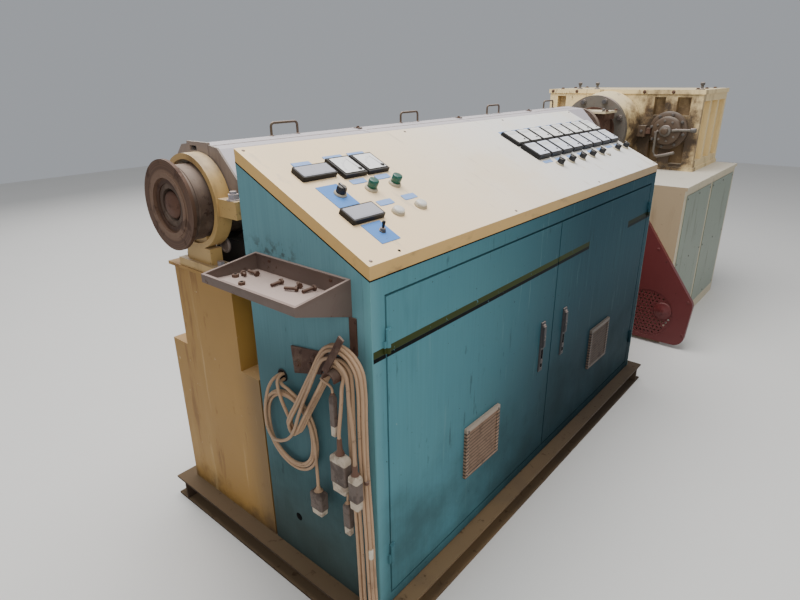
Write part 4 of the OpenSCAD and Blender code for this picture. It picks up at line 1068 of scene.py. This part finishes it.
# Drive end: bolts of the hopper plate and the flange, bolts and posts of the housing
HOPPER_Z = 1258
drive = Shape("drive_fixings")
for x, y in product((2600, 2740), (539.6, 840.4)):
    drive.bolt((x, y, HOPPER_Z), UP, 9, 8, rust)
drive.lathe((2600, 560, HOPPER_Z), UP, [(8, 0), (8, 16), (6.4, 18)], dark_steel, 24)
drive.lathes([(2771, AXIS_Y + dy, AXIS_Z + dz) for dy, dz in circle(8, 178, 20)], TO_OUTLET,
             [(14, 0), (14, 7), (12, 8)], latch_grey, 6)
for y in (300, 470, 910, 1080):
    drive.bolt((HOUSING_X - 8, y, HOUSING_Z - 13), TO_OUTLET, 7, 5, rust)
for x, y in product((3080, 3280, 3480), (190, 1050)):
    drive.bolt((x, y, HOUSING_Z), UP, 9, 7, rust)
drive.lathes([(3056, 918, HOUSING_Z), (3077, 808, HOUSING_Z), (3030, 156, HOUSING_Z)], UP,
             [(18, 0), (16, 4), (8, 7), (8, 24), (12, 27), (13, 38), (8, 42)], dark_steel, 32)
drive.done("rusty_steel", 0.6)

# Hub on the housing's front: a bolted cap, two levers and the block that joins it to the bell
HUB_Y = 300
HUB_Z = 1136
CAP_X = HOUSING_X - 18
NOSE_X = HOUSING_X - 52
hub = Shape("housing_hub")
hub.lathe((HOUSING_X, HUB_Y, HUB_Z), TO_OUTLET, [(112, 0), (112, 10), (104, 16), (84, 18)], grease, 64)
hub.lathe((CAP_X, HUB_Y, HUB_Z), TO_OUTLET, [(84, 0), (82, 26), (70, 32), (34, 34)], grease, 64)
hub.lathe((NOSE_X, HUB_Y, HUB_Z), TO_OUTLET, [(34, 0), (33, 14), (25, 18)], disc_steel, 40)
hub.lathe((NOSE_X, HUB_Y, HUB_Z), TO_OUTLET, [(21, 17.9), (20, 32), (12, 36)], grease, 40)
hub.lathes([(CAP_X, HUB_Y + dy, HUB_Z + dz) for dy, dz in circle(8, 96, 12)], TO_OUTLET,
           [(9, 0), (9, 8), (7.6, 9)], dark_steel, 6)
hub.lathes([(NOSE_X + 4, HUB_Y + dy, HUB_Z + dz) for dy, dz in circle(8, 60, 34)], TO_OUTLET,
           [(7, 0), (7, 7), (5.6, 8)], disc_steel, 6)
hub.box((2958, 424, 1094), (HOUSING_X - 0.5, 500, 1160), grease)
hub.box((2966, 396, 1112), (HOUSING_X - 0.5, 430, 1146), rust)
hub.lathes([(2958, 446, 1128), (2958, 480, 1128)], TO_OUTLET, [(9, 0), (9, 8), (7.6, 9)],
           dark_steel, 6)
hub.tube([(2944, 340, 1136), (2942, 352, 1128), (2941, 352, 1010), (2941, 340, 988), (2941, 322, 984)],
         7, disc_steel)
hub.tube([(2941, 330, 984), (2941, 280, 996), (2941, 230, 1012)], 9, disc_steel)
hub.tube([(2944, 262, 1138), (2944, 240, 1142), (2944, 150, 1146)], 8, disc_steel)
hub.lathe((2944, 160, 1146), TO_FRONT, [(8, 0), (13, 4), (13, 30), (9, 34)], dark_steel, 20)
hub.done("rusty_steel", 0.5)

# Drive stand: screwed sheet panels in front and behind, and one on its end, in grey-green: the stand's
# beige painted as it looks in shade
PANEL_LOW = 70
PANEL_HIGH = 850
panels = Shape("stand_panels")
for x0, x1 in [(2470, 2960), (HOUSING_X, 3520)]:
    columns = (x0 + 18, (x0 + x1) / 2, x1 - 18)
    panels.box((x0, -3.5, PANEL_LOW), (x1, -0.2, PANEL_HIGH), stand_beige_in_shade)
    panels.box((x0, 1120.2, PANEL_LOW), (x1, 1123.5, PANEL_HIGH), stand_beige_in_shade)
    for y, way in [(-3.5, TO_FRONT), (1123.5, TO_BACK)]:
        panels.lathes(product(columns, (y,), (90, 460, 830)), way, [(6, 0), (5.6, 1.4), (3.4, 2.4)],
                      dark_steel, 16)
panels.box((3560.2, 60, PANEL_LOW), (3563, 1060, PANEL_HIGH), stand_beige_in_shade)
panels.done("beige_paint", 0.8)

# Bed: bolted covers on its back, and the bolted feet of the trough's saddles
BED_BACK = 925.2
covers = Shape("bed_covers")
for x0, x1 in [(60, 800), (840, 1580), (1620, 2360)]:
    columns = (x0 + 20, (x0 + x1) / 2, x1 - 20)
    covers.box((x0, BED_BACK, 130), (x1, BED_BACK + 3, 600), ochre)
    covers.lathes(product(columns, (BED_BACK + 3,), (150, 365, 580)), TO_BACK,
                  [(7, 0), (6.6, 1.6), (4, 2.8)], dark_steel, 16)
covers.done("ochre_paint", 0.8)

FOOT_TOP = 654
feet = Shape("saddle_feet")
for x in SEAMS_X:
    for y0, y1 in [(534, 569.8), (810.2, 846)]:
        feet.box((x - 34, y0, 648.2), (x + 34, y1, FOOT_TOP), hood)
        feet.lathes([(x + dx, (y0 + y1) / 2, FOOT_TOP) for dx in (-20, 20)], UP,
                    [(8, 0), (8, 6), (6.6, 7)], dark_steel, 6)
feet.done("lilac_paint", 0.6)

SCREW_HEAD = [(5, 0), (4.6, 1.2), (2.8, 2)]
screws = Shape("cabinet_screws")
screws.lathes(product((CABINET_L,), (30, 224, 418), (110, 560, 1010)), TO_DRIVE,
              SCREW_HEAD, dark_steel, 16)
screws.lathes(product((40, 400, 760, 1120, 1480, 1840), (DESK_D,), (110, 700, 1180)), TO_BACK,
              SCREW_HEAD, dark_steel, 16)
screws.done("turquoise_paint", 0)

# Belt guard: its rivets and the round boss in the screen
GUARD_X = 2390.2
guard = Shape("guard_fixings")
guard.lathes([(GUARD_X, y, z) for y, z in [(-118, 90), (-118, 290), (78, 560), (250, 815), (440, 800),
                                           (330, 60)]],
             TO_OUTLET, [(7, 0), (7, 1.5), (5.5, 3), (3, 3.4)], red, 24)
guard.lathe((GUARD_X, 6, 208), TO_OUTLET,
            [(49, 0), (48, 3), (44, 4.6), (18, 5), (16, 7), (6, 8)], red, 64)
guard.done("rusty_steel", 0.4)

# Floor and light
FLOOR_R = 9
floor_mesh = bpy.data.meshes.new("floor")
floor_mesh.from_pydata([(-FLOOR_R, -FLOOR_R, 0), (FLOOR_R, -FLOOR_R, 0), (FLOOR_R, FLOOR_R, 0),
                        (-FLOOR_R, FLOOR_R, 0)], [], [(0, 1, 2, 3)])
floor = placed("floor", floor_mesh)
floor_paint = Surface("floor_paint", (214, 212, 208), 0.8)
floor_paint.vary(2, 0.02)
floor_mesh.materials.append(floor_paint.done())

world = bpy.data.worlds.new("studio")
world.use_nodes = True
sky = world.node_tree.nodes["Background"]
sky.inputs["Color"].default_value = (0.86, 0.90, 0.96, 1)
sky.inputs["Strength"].default_value = 0.42
bpy.context.scene.world = world


def lamp(name, place, target, size, power, colour=(1, 1, 1)):
    """a round soft light, in metres and watts, that looks at its target"""
    data = bpy.data.lights.new(name, "AREA")
    data.shape = "DISK"
    data.size = size
    data.energy = power
    data.color = colour
    light = placed(name, data)
    light.location = place
    light.rotation_euler = (Vector(target) - Vector(place)).to_track_quat("-Z", "Y").to_euler()


lamp("sky", (-0.8, 0.4, 5.0), (0, 0, 0.8), 4.0, 330)
lamp("key", (-4.2, -3.6, 3.2), (-1.4, 0, 0.6), 2.2, 70, (1.0, 0.97, 0.92))
lamp("fill", (3.5, -5.0, 3.0), (1.4, 0, 0.6), 3.0, 16, (0.92, 0.96, 1.0))
lamp("back", (0, 5.5, 3.5), (0, 0.3, 0.8), 3.5, 110)
